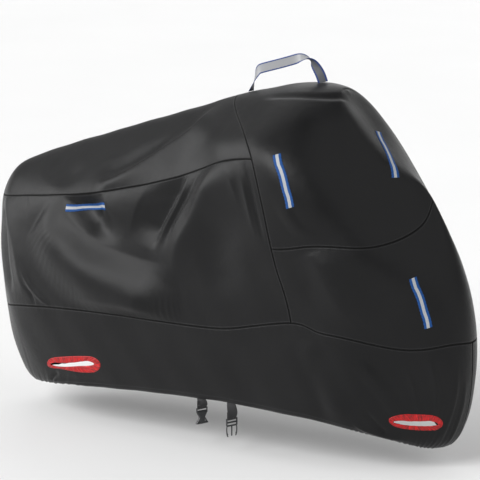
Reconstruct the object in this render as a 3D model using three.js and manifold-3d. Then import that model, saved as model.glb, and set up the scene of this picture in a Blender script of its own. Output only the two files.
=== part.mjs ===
// A fitted motorcycle cover, hollow and hung over what it hides, sewn from shaped panels:
// a rear top, two sides, an upper and a lower front and a two-part skirt, with bound lock
// slots, reflective strips, a carry handle and two belly straps with a side-release buckle.
// Millimetres, +X forward, +Z up. The sewing table counts X from the middle of the cover and
// Z from the ground; the finished group is moved so that its origin lies under the crown.
import * as THREE from "three";
import { mergeVertices } from "three/addons/utils/BufferGeometryUtils.js";
import Module from "manifold-3d";

const wasm = await Module();
wasm.setup();

// Driving dimensions
const CLOTH = 2.4; // thickness of a panel
const GAP = 0.4; // between two pieces that are sewn together
const CROWN = { x: 300, z: 1386 }; // where the cover rests on what it hides
const STRIP = { width: 32, thick: 1.6 }; // reflective strip
const TAPE = 2; // red binding on each face of the cloth
const WEBBING = { width: 38, thick: 2.2 };
const BUCKLE = { width: 51, thick: 12, wall: 1.8 };

// The cover's shape: a row for each rib from the tail's middle to the nose's middle, on the
// right-hand side. Each column is a point [x, y, z] on one line that runs round the cover:
// spine, roof, upper seam, cross seam, belly, belt seam, skirt, hem bend and hem edge.
const RIBS = [
  { rib: "tail", spine: [-960, 0, 983], roof: [-1006, 0, 948], upper: [-1046, 0, 858],
    cross: [-1050, 0, 745], belly: [-1046, 0, 590], belt: [-1028, 0, 400],
    skirt: [-1004, 0, 265], bend: [-966, 0, 152], edge: [-926, 0, 114] },
  { rib: "tail corner", spine: [-922, 0, 1001], roof: [-962, -85, 962], upper: [-966, -160, 862],
    cross: [-970, -175, 760], belly: [-966, -185, 605], belt: [-942, -185, 420],
    skirt: [-922, -174, 285], bend: [-886, -148, 158], edge: [-856, -118, 120] },
  { rib: "rear quarter", spine: [-800, 0, 1049], roof: [-818, -150, 992], upper: [-780, -255, 893],
    cross: [-795, -285, 770], belly: [-798, -300, 620], belt: [-775, -298, 455],
    skirt: [-760, -280, 325], bend: [-736, -246, 176], edge: [-722, -220, 132] },
  { rib: "seat back", spine: [-500, 0, 1149], roof: [-470, -165, 1070], upper: [-400, -300, 950],
    cross: [-415, -325, 800], belly: [-420, -345, 640], belt: [-400, -345, 487],
    skirt: [-392, -330, 355], bend: [-382, -302, 220], edge: [-380, -284, 172] },
  { rib: "seat", spine: [-180, 0, 1251], roof: [-120, -165, 1180], upper: [-10, -305, 1052],
    cross: [-5, -335, 870], belly: [20, -350, 670], belt: [60, -350, 493],
    skirt: [60, -338, 365], bend: [60, -312, 246], edge: [60, -295, 198] },
  { rib: "tank", spine: [-50, 0, 1293], roof: [35, -180, 1235], upper: [190, -350, 1128],
    cross: [225, -362, 860], belly: [255, -360, 690], belt: [282, -345, 513],
    skirt: [285, -333, 380], bend: [282, -310, 247], edge: [280, -294, 198] },
  { rib: "front seam", spine: [62, 0, 1332], roof: [180, -200, 1280], upper: [362, -388, 1162],
    cross: [442, -378, 836], belly: [477, -360, 700], belt: [500, -333, 556],
    skirt: [505, -326, 395], bend: [502, -305, 240], edge: [500, -288, 190] },
  { rib: "handlebar", spine: [215, 0, 1370], roof: [320, -215, 1325], upper: [480, -380, 1150],
    cross: [580, -364, 856], belly: [592, -348, 700], belt: [600, -322, 536],
    skirt: [606, -308, 380], bend: [605, -284, 224], edge: [602, -266, 176] },
  { rib: "fork", spine: [380, 0, 1401], roof: [460, -192, 1334], upper: [588, -326, 1126],
    cross: [715, -330, 863], belly: [730, -318, 700], belt: [724, -298, 518],
    skirt: [732, -282, 355], bend: [726, -254, 200], edge: [714, -232, 156] },
  { rib: "front quarter", spine: [505, 0, 1396], roof: [556, -134, 1318], upper: [676, -220, 1112],
    cross: [826, -240, 868], belly: [905, -205, 690], belt: [905, -192, 480],
    skirt: [905, -174, 320], bend: [888, -156, 160], edge: [866, -134, 108] },
  { rib: "nose corner", spine: [526, 0, 1387], roof: [599, -84, 1310], upper: [752, -92, 1116],
    cross: [901, -70, 927], belly: [1001, -92, 710], belt: [1036, -98, 496],
    skirt: [1032, -92, 310], bend: [984, -84, 138], edge: [938, -70, 84] },
  { rib: "nose", spine: [538, 0, 1380], roof: [600, 0, 1305], upper: [776, 0, 1120],
    cross: [905, 0, 1003], belly: [1033, 0, 722], belt: [1076, 0, 494],
    skirt: [1074, 0, 310], bend: [1032, 0, 140], edge: [976, 0, 82] },
];
const LINES = ["spine", "roof", "upper", "cross", "belly", "belt", "skirt", "bend", "edge"];
const NOSE = RIBS.length - 1; // the rib number at the nose; the far side runs on from there
const ROUND = 2 * NOSE; // rib numbers once round the cover
const SEAM = { front: 6, upper: 2, cross: 3, belt: 5, edge: 8 }; // rib or line numbers

// The main folds: a soft ridge, or a trough where its height is negative, along a route of
// [rib number, line number] points, with its reach to the left and right of that route.
const FOLDS = [
  { fold: "swag hollow", height: -24, left: 105, right: 95, route: [[2.75, 2.4], [3.25, 2.85], [3.7, 3.05]] },
  { fold: "swag lip", height: 15, left: 90, right: 48,
    route: [[2.45, 1.95], [2.7, 2.56], [2.95, 3.05], [3.3, 3.48], [3.6, 3.72], [3.82, 3.84]] },
  { fold: "swag corner", height: 9, left: 60, right: 48, route: [[3.02, 2.1], [3.17, 2.74], [3.3, 3.3]] },
  { fold: "dark valley", height: -11, left: 46, right: 46, route: [[3.95, 2.05], [3.8, 2.8], [3.7, 3.5]] },
  { fold: "high ridge", height: 22, left: 78, right: 46,
    route: [[4.85, 1.98], [4.42, 2.37], [4.15, 2.9], [3.92, 3.47], [3.78, 3.85], [3.66, 4.3]] },
  { fold: "belly swell", height: 15, left: 130, right: 120, route: [[2.9, 4.05], [3.4, 4.1], [3.8, 4.3]] },
  { fold: "knee hollow", height: -13, left: 120, right: 120, route: [[4.95, 2.5], [4.75, 3.4], [4.9, 4.5]] },
  { fold: "roof ridge", height: 11, left: 60, right: 60, route: [[5.6, 0.35], [4.3, 1.0], [3.6, 1.46], [3.0, 1.92]] },
  { fold: "tail hollow", height: -8, left: 90, right: 90, route: [[2.3, 0.7], [2.75, 1.75]] },
  { fold: "tail pleat", height: 9, left: 50, right: 50, route: [[1.45, 2.5], [1.85, 3.4], [2.0, 4.7]] },
  { fold: "shin swell", height: 12, left: 85, right: 85, route: [[6.35, 3.2], [7.0, 3.75], [7.7, 4.5]] },
  { fold: "skirt drape", height: 9, left: 70, right: 70, route: [[6.3, 5.3], [7.2, 6.2], [7.9, 7.2]] },
  { fold: "far swag", height: -20, left: 110, right: 110, route: [[19.2, 2.5], [18.6, 3.0], [18.0, 3.2]] },
  { fold: "far ridge", height: 16, left: 60, right: 75, route: [[17.3, 2.0], [17.9, 2.9], [18.3, 4.0]] },
  { fold: "far skirt drape", height: 9, left: 75, right: 75, route: [[15.5, 5.3], [14.8, 6.3], [14.2, 7.2]] },
];
const FOLD_STEPS = 20;

// Where the trimmings are sewn on: rib and line numbers of the two ends of a strip, or of a
// slot's opening, whose height and band of tape are in millimetres.
const STRIPS = [
  { name: "rear", start: [2.65, 2.34], end: [3.1, 2.37] },
  { name: "upper", start: [6.99, 1.87], end: [6.9, 2.51] },
  { name: "lower", start: [9.22, 3.72], end: [9.41, 4.64] },
];
const CENTRE_STRIP = { start: [11.2, 1.34], end: [10.22, 2.12] };
const SLOTS = [
  { name: "rear", start: [2.32, 6.67], end: [2.95, 6.61], height: 22, band: 25 },
  { name: "front", start: [8.73, 6.79], end: [9.83, 6.63], height: 22, band: 20 },
];

// The values' second derivatives at the knots of a natural or closed cubic spline, each as
// weights on the values, from the usual tridiagonal system solved by elimination.
function splineBends(count, closed) {
  const rows = Array.from({ length: count }, (_, i) => {
    const left = new Array(count).fill(0);
    const right = new Array(count).fill(0);
    if (!closed && (i === 0 || i === count - 1)) {
      left[i] = 1;
      return { left, right };
    }
    const before = (i + count - 1) % count;
    const after = (i + 1) % count;
    left[before] += 1;
    left[i] += 4;
    left[after] += 1;
    right[before] += 6;
    right[i] -= 12;
    right[after] += 6;
    return { left, right };
  });
  rows.forEach((pivot, i) => {
    const scale = pivot.left[i];
    pivot.left = pivot.left.map((value) => value / scale);
    pivot.right = pivot.right.map((value) => value / scale);
    rows.forEach((row, j) => {
      const share = row.left[i];
      if (j === i || share === 0) return;
      row.left = row.left.map((value, k) => value - share * pivot.left[k]);
      row.right = row.right.map((value, k) => value - share * pivot.right[k]);
    });
  });
  return rows.map((row) => row.right);
}

// The weights that each knot's value has at parameter t.
function splineWeights(t, bends, closed) {
  const count = bends.length;
  const cell = closed ? Math.floor(t) : Math.min(Math.max(Math.floor(t), 0), count - 2);
  const after = t - cell;
  const before = 1 - after;
  const near = ((cell % count) + count) % count;
  const next = (near + 1) % count;
  return bends[near].map(
    (_, k) =>
      (k === near ? before : 0) +
      (k === next ? after : 0) +
      ((before ** 3 - before) * bends[near][k] + (after ** 3 - after) * bends[next][k]) / 6,
  );
}

// The closed net of guide points: ribs once round the cover, and along each rib from the hem
// of its mirror image over the spine to its own hem, so that the spine is smooth.
const mirror = ([x, y, z]) => [x, -y, z];
const halfNet = RIBS.map((row) => LINES.map((line) => row[line]));
const loopNet = [...halfNet, ...halfNet.slice(1, NOSE).reverse().map((rib) => rib.map(mirror))];
const NET = loopNet.map((rib) => [...rib.slice(1).reverse().map(mirror), ...rib]);
const RIB_BENDS = splineBends(NET.length, true);
const LINE_BENDS = splineBends(NET[0].length, false);

// The smooth cover without folds, at rib number u and line number v.
function form(u, v) {
  const along = splineWeights(u, RIB_BENDS, true);
  const down = splineWeights(v + LINES.length - 1, LINE_BENDS, false);
  const sum = [0, 0, 0];
  NET.forEach((rib, i) =>
    rib.forEach((guide, j) => {
      const weight = along[i] * down[j];
      sum[0] += weight * guide[0];
      sum[1] += weight * guide[1];
      sum[2] += weight * guide[2];
    }),
  );
  return new THREE.Vector3(...sum);
}

// The outward normal of a surface function at (u, v). Beyond the spine, at negative v, the
// surface runs on as its own mirror image. At the spine's two ends, where all ribs meet, the
// normal is measured a little further down.
function outward(surface, u, v) {
  const step = 0.02;
  const atEnd = v === 0 && u % NOSE === 0;
  const row = atEnd ? 2 * step : v;
  const along = surface(u + step, row).sub(surface(u - step, row));
  const down = surface(u, row + step).sub(surface(u, row - step));
  const normal = down.cross(along);
  if (atEnd) normal.y = 0;
  return normal.normalize();
}

// Each fold's route as short straight steps on the smooth cover, with the normal there.
const FOLD_PATHS = FOLDS.map(({ route, ...fold }) => {
  const curve = new THREE.CatmullRomCurve3(route.map(([u, v]) => new THREE.Vector3(u, v, 0)));
  const knots = curve.getPoints(FOLD_STEPS);
  const points = knots.map(({ x, y }) => form(x, y));
  return { ...fold, points, normals: knots.map(({ x, y }) => outward(form, x, y)) };
});

// How far the folds lift a point of the smooth cover: a raised cosine of the distance to each
// route, fading in and out over the route's ends.
function foldLift(point) {
  let lift = 0;
  for (const { points, normals, height, left, right } of FOLD_PATHS) {
    let best = { distance: Infinity };
    for (let i = 0; i < FOLD_STEPS; i += 1) {
      const step = points[i + 1].clone().sub(points[i]);
      const offset = point.clone().sub(points[i]);
      const share = Math.min(Math.max(offset.dot(step) / step.lengthSq(), 0), 1);
      offset.addScaledVector(step, -share);
      const distance = offset.length();
      if (distance < best.distance)
        best = { distance, onLeft: step.cross(offset).dot(normals[i]) > 0 };
    }
    const reach = best.distance / (best.onLeft ? left : right);
    if (reach < 1) lift += (height * (1 + Math.cos(Math.PI * reach))) / 2;
  }
  return lift;
}

// The folded cloth's outer face.
function cloth(u, v) {
  const point = form(u, v);
  return point.addScaledVector(outward(form, u, v), foldLift(point));
}

const lifted = new Map(); // points already worked out, so that a shared edge is computed once
function clothAt(around, v, lift) {
  const u = v === 0 ? Math.min(Math.abs(around), Math.abs(ROUND - around)) : around;
  const key = `${u.toFixed(6)} ${v.toFixed(6)}`;
  if (!lifted.has(key)) lifted.set(key, { point: cloth(u, v), normal: outward(cloth, u, v) });
  const { point, normal } = lifted.get(key);
  return point.clone().addScaledVector(normal, lift);
}

// Stations between whole rib or line numbers: so many equal steps in each interval.
function stations(first, steps) {
  const list = [first];
  steps.forEach((count, i) => {
    for (let k = 1; k <= count; k += 1) list.push(first + i + k / count);
  });
  return list;
}
const RIB_STEPS = [3, 3, 7, 10, 6, 4, 3, 3, 3, 3, 2];
const AROUND = stations(0, [...RIB_STEPS, ...[...RIB_STEPS].reverse()]);
const DOWN = stations(0, [3, 3, 4, 4, 3, 2, 3, 1]);
const between = (list, low, high) => list.filter((value) => value >= low && value <= high);

// A closed sheet over a range of stations, between two lifts off the cloth's outer face. Its
// sides stand half a gap inside its seams, and a sheet that starts on the spine has no rim there.
function sheet({ around, down, outer = 0, inner = -CLOTH, inset = GAP / 2 }) {
  const last = around.length - 1;
  const bottom = down.length - 1;
  const overSpine = down[0] === 0;
  const nearSpeed = (u, v) => form(u + 0.01, v).distanceTo(form(u - 0.01, v)) / 0.02;
  const downSpeed = (u, v) => form(u, v + 0.01).distanceTo(form(u, v - 0.01)) / 0.02;
  const pointAt = (i, j, lift) => {
    let [u, v] = [around[i], down[j]];
    if (i === 0) u += inset / nearSpeed(u, v);
    if (i === last) u -= inset / nearSpeed(u, v);
    if (j === 0 && !overSpine) v += inset / downSpeed(u, v);
    if (j === bottom && v < SEAM.edge) v -= inset / downSpeed(u, v);
    return clothAt(u, v, lift);
  };
  const faces = [outer, inner].map((lift) =>
    around.map((_, i) => down.map((__, j) => pointAt(i, j, lift).toArray())),
  );
  const corners = [];
  const quad = (a, b, c, d) => corners.push(...a, ...b, ...c, ...a, ...c, ...d);
  const [out, back] = faces;
  for (let i = 0; i < last; i += 1) {
    for (let j = 0; j < bottom; j += 1) {
      quad(out[i][j], out[i][j + 1], out[i + 1][j + 1], out[i + 1][j]);
      quad(back[i][j], back[i + 1][j], back[i + 1][j + 1], back[i][j + 1]);
    }
    if (!overSpine) quad(out[i][0], out[i + 1][0], back[i + 1][0], back[i][0]);
    quad(out[i][bottom], back[i][bottom], back[i + 1][bottom], out[i + 1][bottom]);
  }
  for (let j = 0; j < bottom; j += 1) {
    quad(out[0][j], back[0][j], back[0][j + 1], out[0][j + 1]);
    quad(out[last][j], out[last][j + 1], back[last][j + 1], back[last][j]);
  }
  return new THREE.BufferGeometry().setAttribute(
    "position",
    new THREE.Float32BufferAttribute(corners, 3),
  );
}

// A closed geometry as a solid, and a solid as a geometry.
function solidOf(geometry) {
  const bare = geometry.index ? geometry.toNonIndexed() : geometry.clone();
  bare.deleteAttribute("normal");
  bare.deleteAttribute("uv");
  const merged = mergeVertices(bare, 1e-4);
  return new wasm.Manifold(
    new wasm.Mesh({
      numProp: 3,
      vertProperties: merged.attributes.position.array,
      triVerts: new Uint32Array(merged.index.array),
    }),
  );
}
function geometryOf(solid) {
  const { vertProperties, triVerts } = solid.getMesh();
  const geometry = new THREE.BufferGeometry()
    .setAttribute("position", new THREE.BufferAttribute(vertProperties, 3))
    .setIndex(new THREE.BufferAttribute(triVerts, 1));
  geometry.computeVertexNormals();
  return geometry;
}

// A frame on the cloth at (u, v): x along the given direction, y across it, z outwards.
function frameAt(u, v, direction) {
  const normal = outward(form, u, v);
  const along = direction.clone().addScaledVector(normal, -direction.dot(normal)).normalize();
  const across = normal.clone().cross(along);
  return new THREE.Matrix4().makeBasis(along, across, normal).setPosition(cloth(u, v));
}

// The stations that surround a point, one cell more on each side than asked for.
function stationsNear(list, low, high) {
  const first = Math.max(list.findLastIndex((value) => value < low) - 1, 0);
  const last = list.findIndex((value) => value > high) + 1;
  return list.slice(first, last < 1 ? list.length : last + 1);
}

// A flat strip sewn on the cloth between two points of it.
function strip({ start, end }) {
  const ends = [cloth(...start), cloth(...end)];
  const middle = [(start[0] + end[0]) / 2, (start[1] + end[1]) / 2];
  const chord = ends[1].clone().sub(ends[0]);
  const block = new THREE.BoxGeometry(chord.length(), STRIP.width, 60);
  block.applyMatrix4(frameAt(...middle, chord));
  const skin = sheet({
    around: stationsNear(AROUND, Math.min(start[0], end[0]) - 0.1, Math.max(start[0], end[0]) + 0.1),
    down: stationsNear(DOWN, Math.min(start[1], end[1]) - 0.1, Math.max(start[1], end[1]) + 0.1),
    outer: GAP + STRIP.thick,
    inner: GAP,
    inset: 0,
  });
  return solidOf(skin).intersect(solidOf(block));
}

// A bar with round ends, standing through the cloth at a slot and larger than it all round.
function slotBar({ start, end, height }, grow) {
  const chord = cloth(...end).sub(cloth(...start));
  const straight = (chord.length() - height) / 2;
  const outline = new THREE.Shape();
  outline.absarc(straight, 0, height / 2 + grow, -Math.PI / 2, Math.PI / 2, false);
  outline.absarc(-straight, 0, height / 2 + grow, Math.PI / 2, (3 * Math.PI) / 2, false);
  const bar = new THREE.ExtrudeGeometry(outline, { depth: 120, bevelEnabled: false, curveSegments: 5 });
  const middle = [(start[0] + end[0]) / 2, (start[1] + end[1]) / 2];
  return solidOf(bar.translate(0, 0, -60).applyMatrix4(frameAt(...middle, chord)));
}

// The slots of the other side, and a layer of cloth round a slot.
const otherSide = ([u, v]) => [ROUND - u, v];
const mirrored = (row) => ({ ...row, start: otherSide(row.start), end: otherSide(row.end) });
function slotCloth({ start, end }, outer, inner) {
  const low = Math.min(start[0], end[0]);
  const high = Math.max(start[0], end[0]);
  return solidOf(
    sheet({
      around: stationsNear(AROUND, low - 0.2, high + 0.2),
      down: between(DOWN, SEAM.belt, SEAM.edge),
      outer,
      inner,
      inset: 0,
    }),
  );
}

// Tape folded round a slot's edge, over both faces of the cloth.
function binding(slot) {
  const layers = slotCloth(slot, GAP + TAPE, -CLOTH - GAP - TAPE);
  const held = slotCloth(slot, GAP, -CLOTH - GAP).subtract(slotBar(slot, TAPE + 2));
  return layers
    .intersect(slotBar(slot, slot.band))
    .subtract(slotBar(slot, 0))
    .subtract(held);
}
const slotHole = (slot) => slotBar(slot, TAPE + 2 + GAP);

// A strap as a ribbon: a row for each section, with its middle and the way its width points.
// Where it's given, cut moves the corners of the two end sections.
function ribbon(sections, { cut = (corner) => corner } = {}) {
  const middles = new THREE.CatmullRomCurve3(sections.map(({ at }) => new THREE.Vector3(...at)));
  const widths = new THREE.CatmullRomCurve3(sections.map(({ wide }) => new THREE.Vector3(...wide)));
  const steps = 3 * (sections.length - 1);
  const rings = Array.from({ length: steps + 1 }, (_, i) => {
    const middle = middles.getPoint(i / steps);
    const tangent = middles.getTangent(i / steps);
    const across = widths.getPoint(i / steps);
    across.addScaledVector(tangent, -across.dot(tangent)).normalize();
    const face = tangent.clone().cross(across);
    return [[1, 1], [-1, 1], [-1, -1], [1, -1]].map(([side, top]) => {
      const corner = middle.clone().addScaledVector(across, (side * WEBBING.width) / 2);
      corner.addScaledVector(face, (top * WEBBING.thick) / 2);
      return (i === 0 || i === steps ? cut(corner) : corner).toArray();
    });
  });
  const corners = [];
  const quad = (a, b, c, d) => corners.push(...a, ...b, ...c, ...a, ...c, ...d);
  for (let i = 0; i < steps; i += 1)
    for (let k = 0; k < 4; k += 1) {
      const next = (k + 1) % 4;
      quad(rings[i][k], rings[i][next], rings[i + 1][next], rings[i + 1][k]);
    }
  quad(...[...rings[0]].reverse());
  quad(...rings[steps]);
  return new THREE.BufferGeometry().setAttribute(
    "position",
    new THREE.Float32BufferAttribute(corners, 3),
  );
}

// A corner let down, or raised, on to the cloth near the crown. The cloth's point at the
// corner's x and y is found by stepping along the surface, first across it and then along it.
function ontoCloth(corner) {
  let [u, v] = [7, 0];
  for (let i = 0; i < 12; i += 1) {
    v -= (corner.y - form(u, v).y) / (form(u, v - 0.01).y - form(u, v + 0.01).y) / 50;
    u += (corner.x - form(u, v).x) / (form(u + 0.01, v).x - form(u - 0.01, v).x) / 50;
  }
  return new THREE.Vector3(corner.x, corner.y, cloth(u, v).z + 2.5 * GAP);
}

// The carry handle: rows from its rear foot to its front foot. Roll turns its width from
// straight across the cover, at 0 degrees, to square to its path, at 90, and on over.
const HANDLE = [
  { x: 110, z: 1349, roll: 0 }, { x: 121, z: 1378, roll: 24 }, { x: 130, z: 1400, roll: 40 },
  { x: 143, z: 1427, roll: 68 }, { x: 166, z: 1440, roll: 84 }, { x: 228, z: 1458, roll: 90 },
  { x: 297, z: 1479, roll: 88 }, { x: 332, z: 1489, roll: 55 }, { x: 363, z: 1487, roll: -5 },
  { x: 385, z: 1475, roll: -70 }, { x: 407, z: 1449, roll: -105 }, { x: 420, z: 1427, roll: -118 },
  { x: 430, z: 1404, roll: -124 },
];
function handle() {
  const sections = HANDLE.map(({ x, z, roll }, i) => {
    const before = HANDLE[Math.max(i - 1, 0)];
    const after = HANDLE[Math.min(i + 1, HANDLE.length - 1)];
    const path = new THREE.Vector2(after.x - before.x, after.z - before.z).normalize();
    const turn = THREE.MathUtils.degToRad(roll);
    const square = Math.sin(turn);
    return { at: [x, 0, z], wide: [-path.y * square, Math.cos(turn), path.x * square] };
  });
  return ribbon(sections, { cut: ontoCloth });
}

// The belly straps: sewn behind the skirt's hem, they hang down and turn towards their buckle
// half, pass round its bar and end behind themselves. Drop is from the hem to the bar.
const STRAPS = [
  { name: "socket", rib: 4.04, drop: 38, turn: 70 },
  { name: "prong", rib: 4.62, drop: 62, turn: 70 },
];
const SEWN = 0.7; // how far up behind the hem, as a share of the way to the hem bend
const TAIL = 26; // length doubled back behind the bar
const BAR = 2.2; // half the thickness of a buckle's bar
function strapFrame({ rib, drop, turn }) {
  const angle = THREE.MathUtils.degToRad(turn);
  return {
    wide: new THREE.Vector3(Math.cos(angle), Math.sin(angle), 0),
    out: new THREE.Vector3(Math.sin(angle), -Math.cos(angle), 0),
    bar: cloth(rib, SEAM.edge).add(new THREE.Vector3(0, CLOTH + 6, -drop)),
  };
}
function strap(row) {
  const { wide, out, bar } = strapFrame(row);
  const lift = -CLOTH - 2 * GAP - WEBBING.thick / 2;
  const bend = clothAt(row.rib, SEAM.edge - 1, lift);
  const behind = (share) => clothAt(row.rib, SEAM.edge, lift).lerp(bend, share).toArray();
  const along = form(row.rib + 0.1, SEAM.edge).sub(form(row.rib - 0.1, SEAM.edge)).normalize();
  const reach = BAR + GAP + WEBBING.thick / 2;
  const by = (forward, up) => {
    const place = bar.clone().addScaledVector(out, forward);
    return place.add(new THREE.Vector3(0, 0, up)).toArray();
  };
  return ribbon([
    ...[SEWN, 0.15, -0.1].map((share) => ({ at: behind(share), wide: along.toArray() })),
    { at: by(reach, row.drop * 0.45), wide: along.clone().lerp(wide, 0.5).toArray() },
    ...[
      [reach, 6], [reach, 0], [reach * 0.7, -reach * 0.7], [0, -reach],
      [-reach * 0.7, -reach * 0.7], [-reach, 0], [-reach - 0.5, TAIL / 2], [-reach - 1, TAIL],
    ].map(([forward, up]) => ({ at: by(forward, up), wide: wide.toArray() })),
  ]);
}

// Solids in a buckle half's own frame: x across, y down the strap, z out of its face.
function block(low, high) {
  const box = new THREE.BoxGeometry(...high.map((value, i) => value - low[i]));
  box.translate(...high.map((value, i) => (value + low[i]) / 2));
  return solidOf(box);
}
function plate(outline, thick) {
  const shape = new THREE.Shape(outline.map(([x, y]) => new THREE.Vector2(x, y)));
  const slab = new THREE.ExtrudeGeometry(shape, { depth: thick, bevelEnabled: false });
  return solidOf(slab.translate(0, 0, -thick / 2));
}
const flipped = (outline) => outline.map(([x, y]) => [-x, y]).reverse();
const HALF = BUCKLE.width / 2;

// The round bar that the webbing passes round, between the two cheeks of a frame.
function webbingBar() {
  const bar = new THREE.CylinderGeometry(BAR, BAR, BUCKLE.width - 4, 12).rotateZ(Math.PI / 2);
  const space = block([-HALF + 4, -9, -9], [HALF - 4, 10, 9]);
  return block([-HALF, -BAR - 1, -BAR - 1], [HALF, 14, BAR + 1]).subtract(space).add(solidOf(bar));
}

// The socket half: an hourglass shell, open at its mouth and at both sides for the arms.
function socket() {
  const side = [[HALF, 11], [HALF - 1, 17], [HALF - 13, 37], [HALF - 12, 43], [HALF + 1, 58], [HALF - 2, 62]];
  const shell = plate([...side, ...flipped(side)], BUCKLE.thick);
  const depth = BUCKLE.thick / 2 - BUCKLE.wall;
  const mouth = block([-HALF + 14, 24, -depth], [HALF - 14, 80, depth]);
  const lobe = [[HALF - 15, 46], [HALF - 10, 46], [HALF - 2, 57], [HALF - 15, 57]];
  return webbingBar()
    .add(shell)
    .subtract(mouth)
    .subtract(plate(lobe, 40))
    .subtract(plate(flipped(lobe), 40));
}

// The prong half: a slotted frame, two hooked arms and a straight guide between them.
function prong() {
  const side = [[HALF, 11], [HALF, 28]];
  const frame = plate([...side, ...flipped(side)], BUCKLE.thick - 2);
  const slot = block([-HALF + 4, 17, -9], [HALF - 4, 23, 9]);
  const arm = [
    [HALF - 4, 26], [HALF, 26], [HALF - 1, 48], [HALF - 2, 60], [HALF - 5, 69], [HALF - 9, 68],
    [HALF - 8, 58], [HALF - 6, 52], [HALF - 4, 44],
  ];
  return webbingBar()
    .add(frame.subtract(slot))
    .add(plate(arm, 5))
    .add(plate(flipped(arm), 5))
    .add(block([-2.5, 26, -2], [2.5, 67, 2]));
}

// Places a buckle half so that its bar lies in the strap's loop.
function atStrap(solid, row) {
  const { out, bar } = strapFrame(row);
  const down = new THREE.Vector3(0, 0, -1);
  const geometry = geometryOf(solid);
  geometry.applyMatrix4(new THREE.Matrix4().makeBasis(down.clone().cross(out), down, out).setPosition(bar));
  return geometry;
}

// Finishes
const FINISH = {
  cloth: { color: 0x26272a, roughness: 0.5, metalness: 0 },
  reflective: { color: 0x8f9bc4, roughness: 0.45, metalness: 0 }, // grey with blue edges
  binding: { color: 0xc4161c, roughness: 0.35, metalness: 0 },
  webbing: { color: 0x17181a, roughness: 0.8, metalness: 0 },
  buckle: { color: 0x1b1c1e, roughness: 0.4, metalness: 0 },
};
const MATERIAL = Object.fromEntries(
  Object.entries(FINISH).map(([name, look]) => [name, new THREE.MeshStandardMaterial(look)]),
);

const cover = new THREE.Group();
cover.position.set(-CROWN.x, 0, -CROWN.z);
function add(name, shape, material) {
  const geometry = shape.isBufferGeometry ? shape : geometryOf(shape);
  const mesh = new THREE.Mesh(geometry, MATERIAL[material]);
  mesh.name = name;
  cover.add(mesh);
}

// Panels. Those over the spine run from one front seam round the tail or the nose to the other.
const rightOf = (low, high) => between(AROUND, low, high);
const tailRound = [...rightOf(ROUND - SEAM.front, ROUND).map((u) => u - ROUND), ...rightOf(0, SEAM.front)];
const unique = (list) => list.filter((value, i) => i === 0 || value !== list[i - 1]);
const noseRound = rightOf(SEAM.front, ROUND - SEAM.front);
add("rear_top_panel", sheet({ around: unique(tailRound), down: between(DOWN, 0, SEAM.upper) }), "cloth");
add("front_upper_panel", sheet({ around: noseRound, down: between(DOWN, 0, SEAM.cross) }), "cloth");
add("front_lower_panel", sheet({ around: noseRound, down: between(DOWN, SEAM.cross, SEAM.belt) }), "cloth");
const SIDES = [
  { side: "right", side_from: 0, side_to: SEAM.front, skirt_from: 0, skirt_to: NOSE, slots: SLOTS },
  {
    side: "left",
    side_from: ROUND - SEAM.front,
    side_to: ROUND,
    skirt_from: NOSE,
    skirt_to: ROUND,
    slots: SLOTS.map(mirrored),
  },
];
for (const { side, side_from, side_to, skirt_from, skirt_to, slots } of SIDES) {
  const panel = sheet({ around: rightOf(side_from, side_to), down: between(DOWN, SEAM.upper, SEAM.belt) });
  add(`side_panel_${side}`, panel, "cloth");
  const skirt = sheet({ around: rightOf(skirt_from, skirt_to), down: between(DOWN, SEAM.belt, SEAM.edge) });
  add(
    `skirt_${side}`,
    slots.reduce((solid, slot) => solid.subtract(slotHole(slot)), solidOf(skirt)),
    "cloth",
  );
  slots.forEach((slot) => add(`lock_slot_binding_${slot.name}_${side}`, binding(slot), "binding"));
  for (const row of STRIPS) {
    const placed = side === "right" ? row : mirrored(row);
    add(`reflective_strip_${row.name}_${side}`, strip(placed), "reflective");
  }
}
add("reflective_strip_front", strip(CENTRE_STRIP), "reflective");
add("carry_handle", handle(), "reflective");
for (const row of STRAPS) add(`belly_strap_${row.name}`, strap(row), "webbing");
add("buckle_socket", atStrap(socket(), STRAPS[0]), "buckle");
add("buckle_prong", atStrap(prong(), STRAPS[1]), "buckle");

export default cover;
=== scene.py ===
"""A fitted motorcycle cover in its draped shape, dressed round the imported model.

The sewing tables are in millimetres, X from the middle of the cover and Z from the ground.
A mesh is moved under the crown and turned into metres when it is made.
"""

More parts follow.
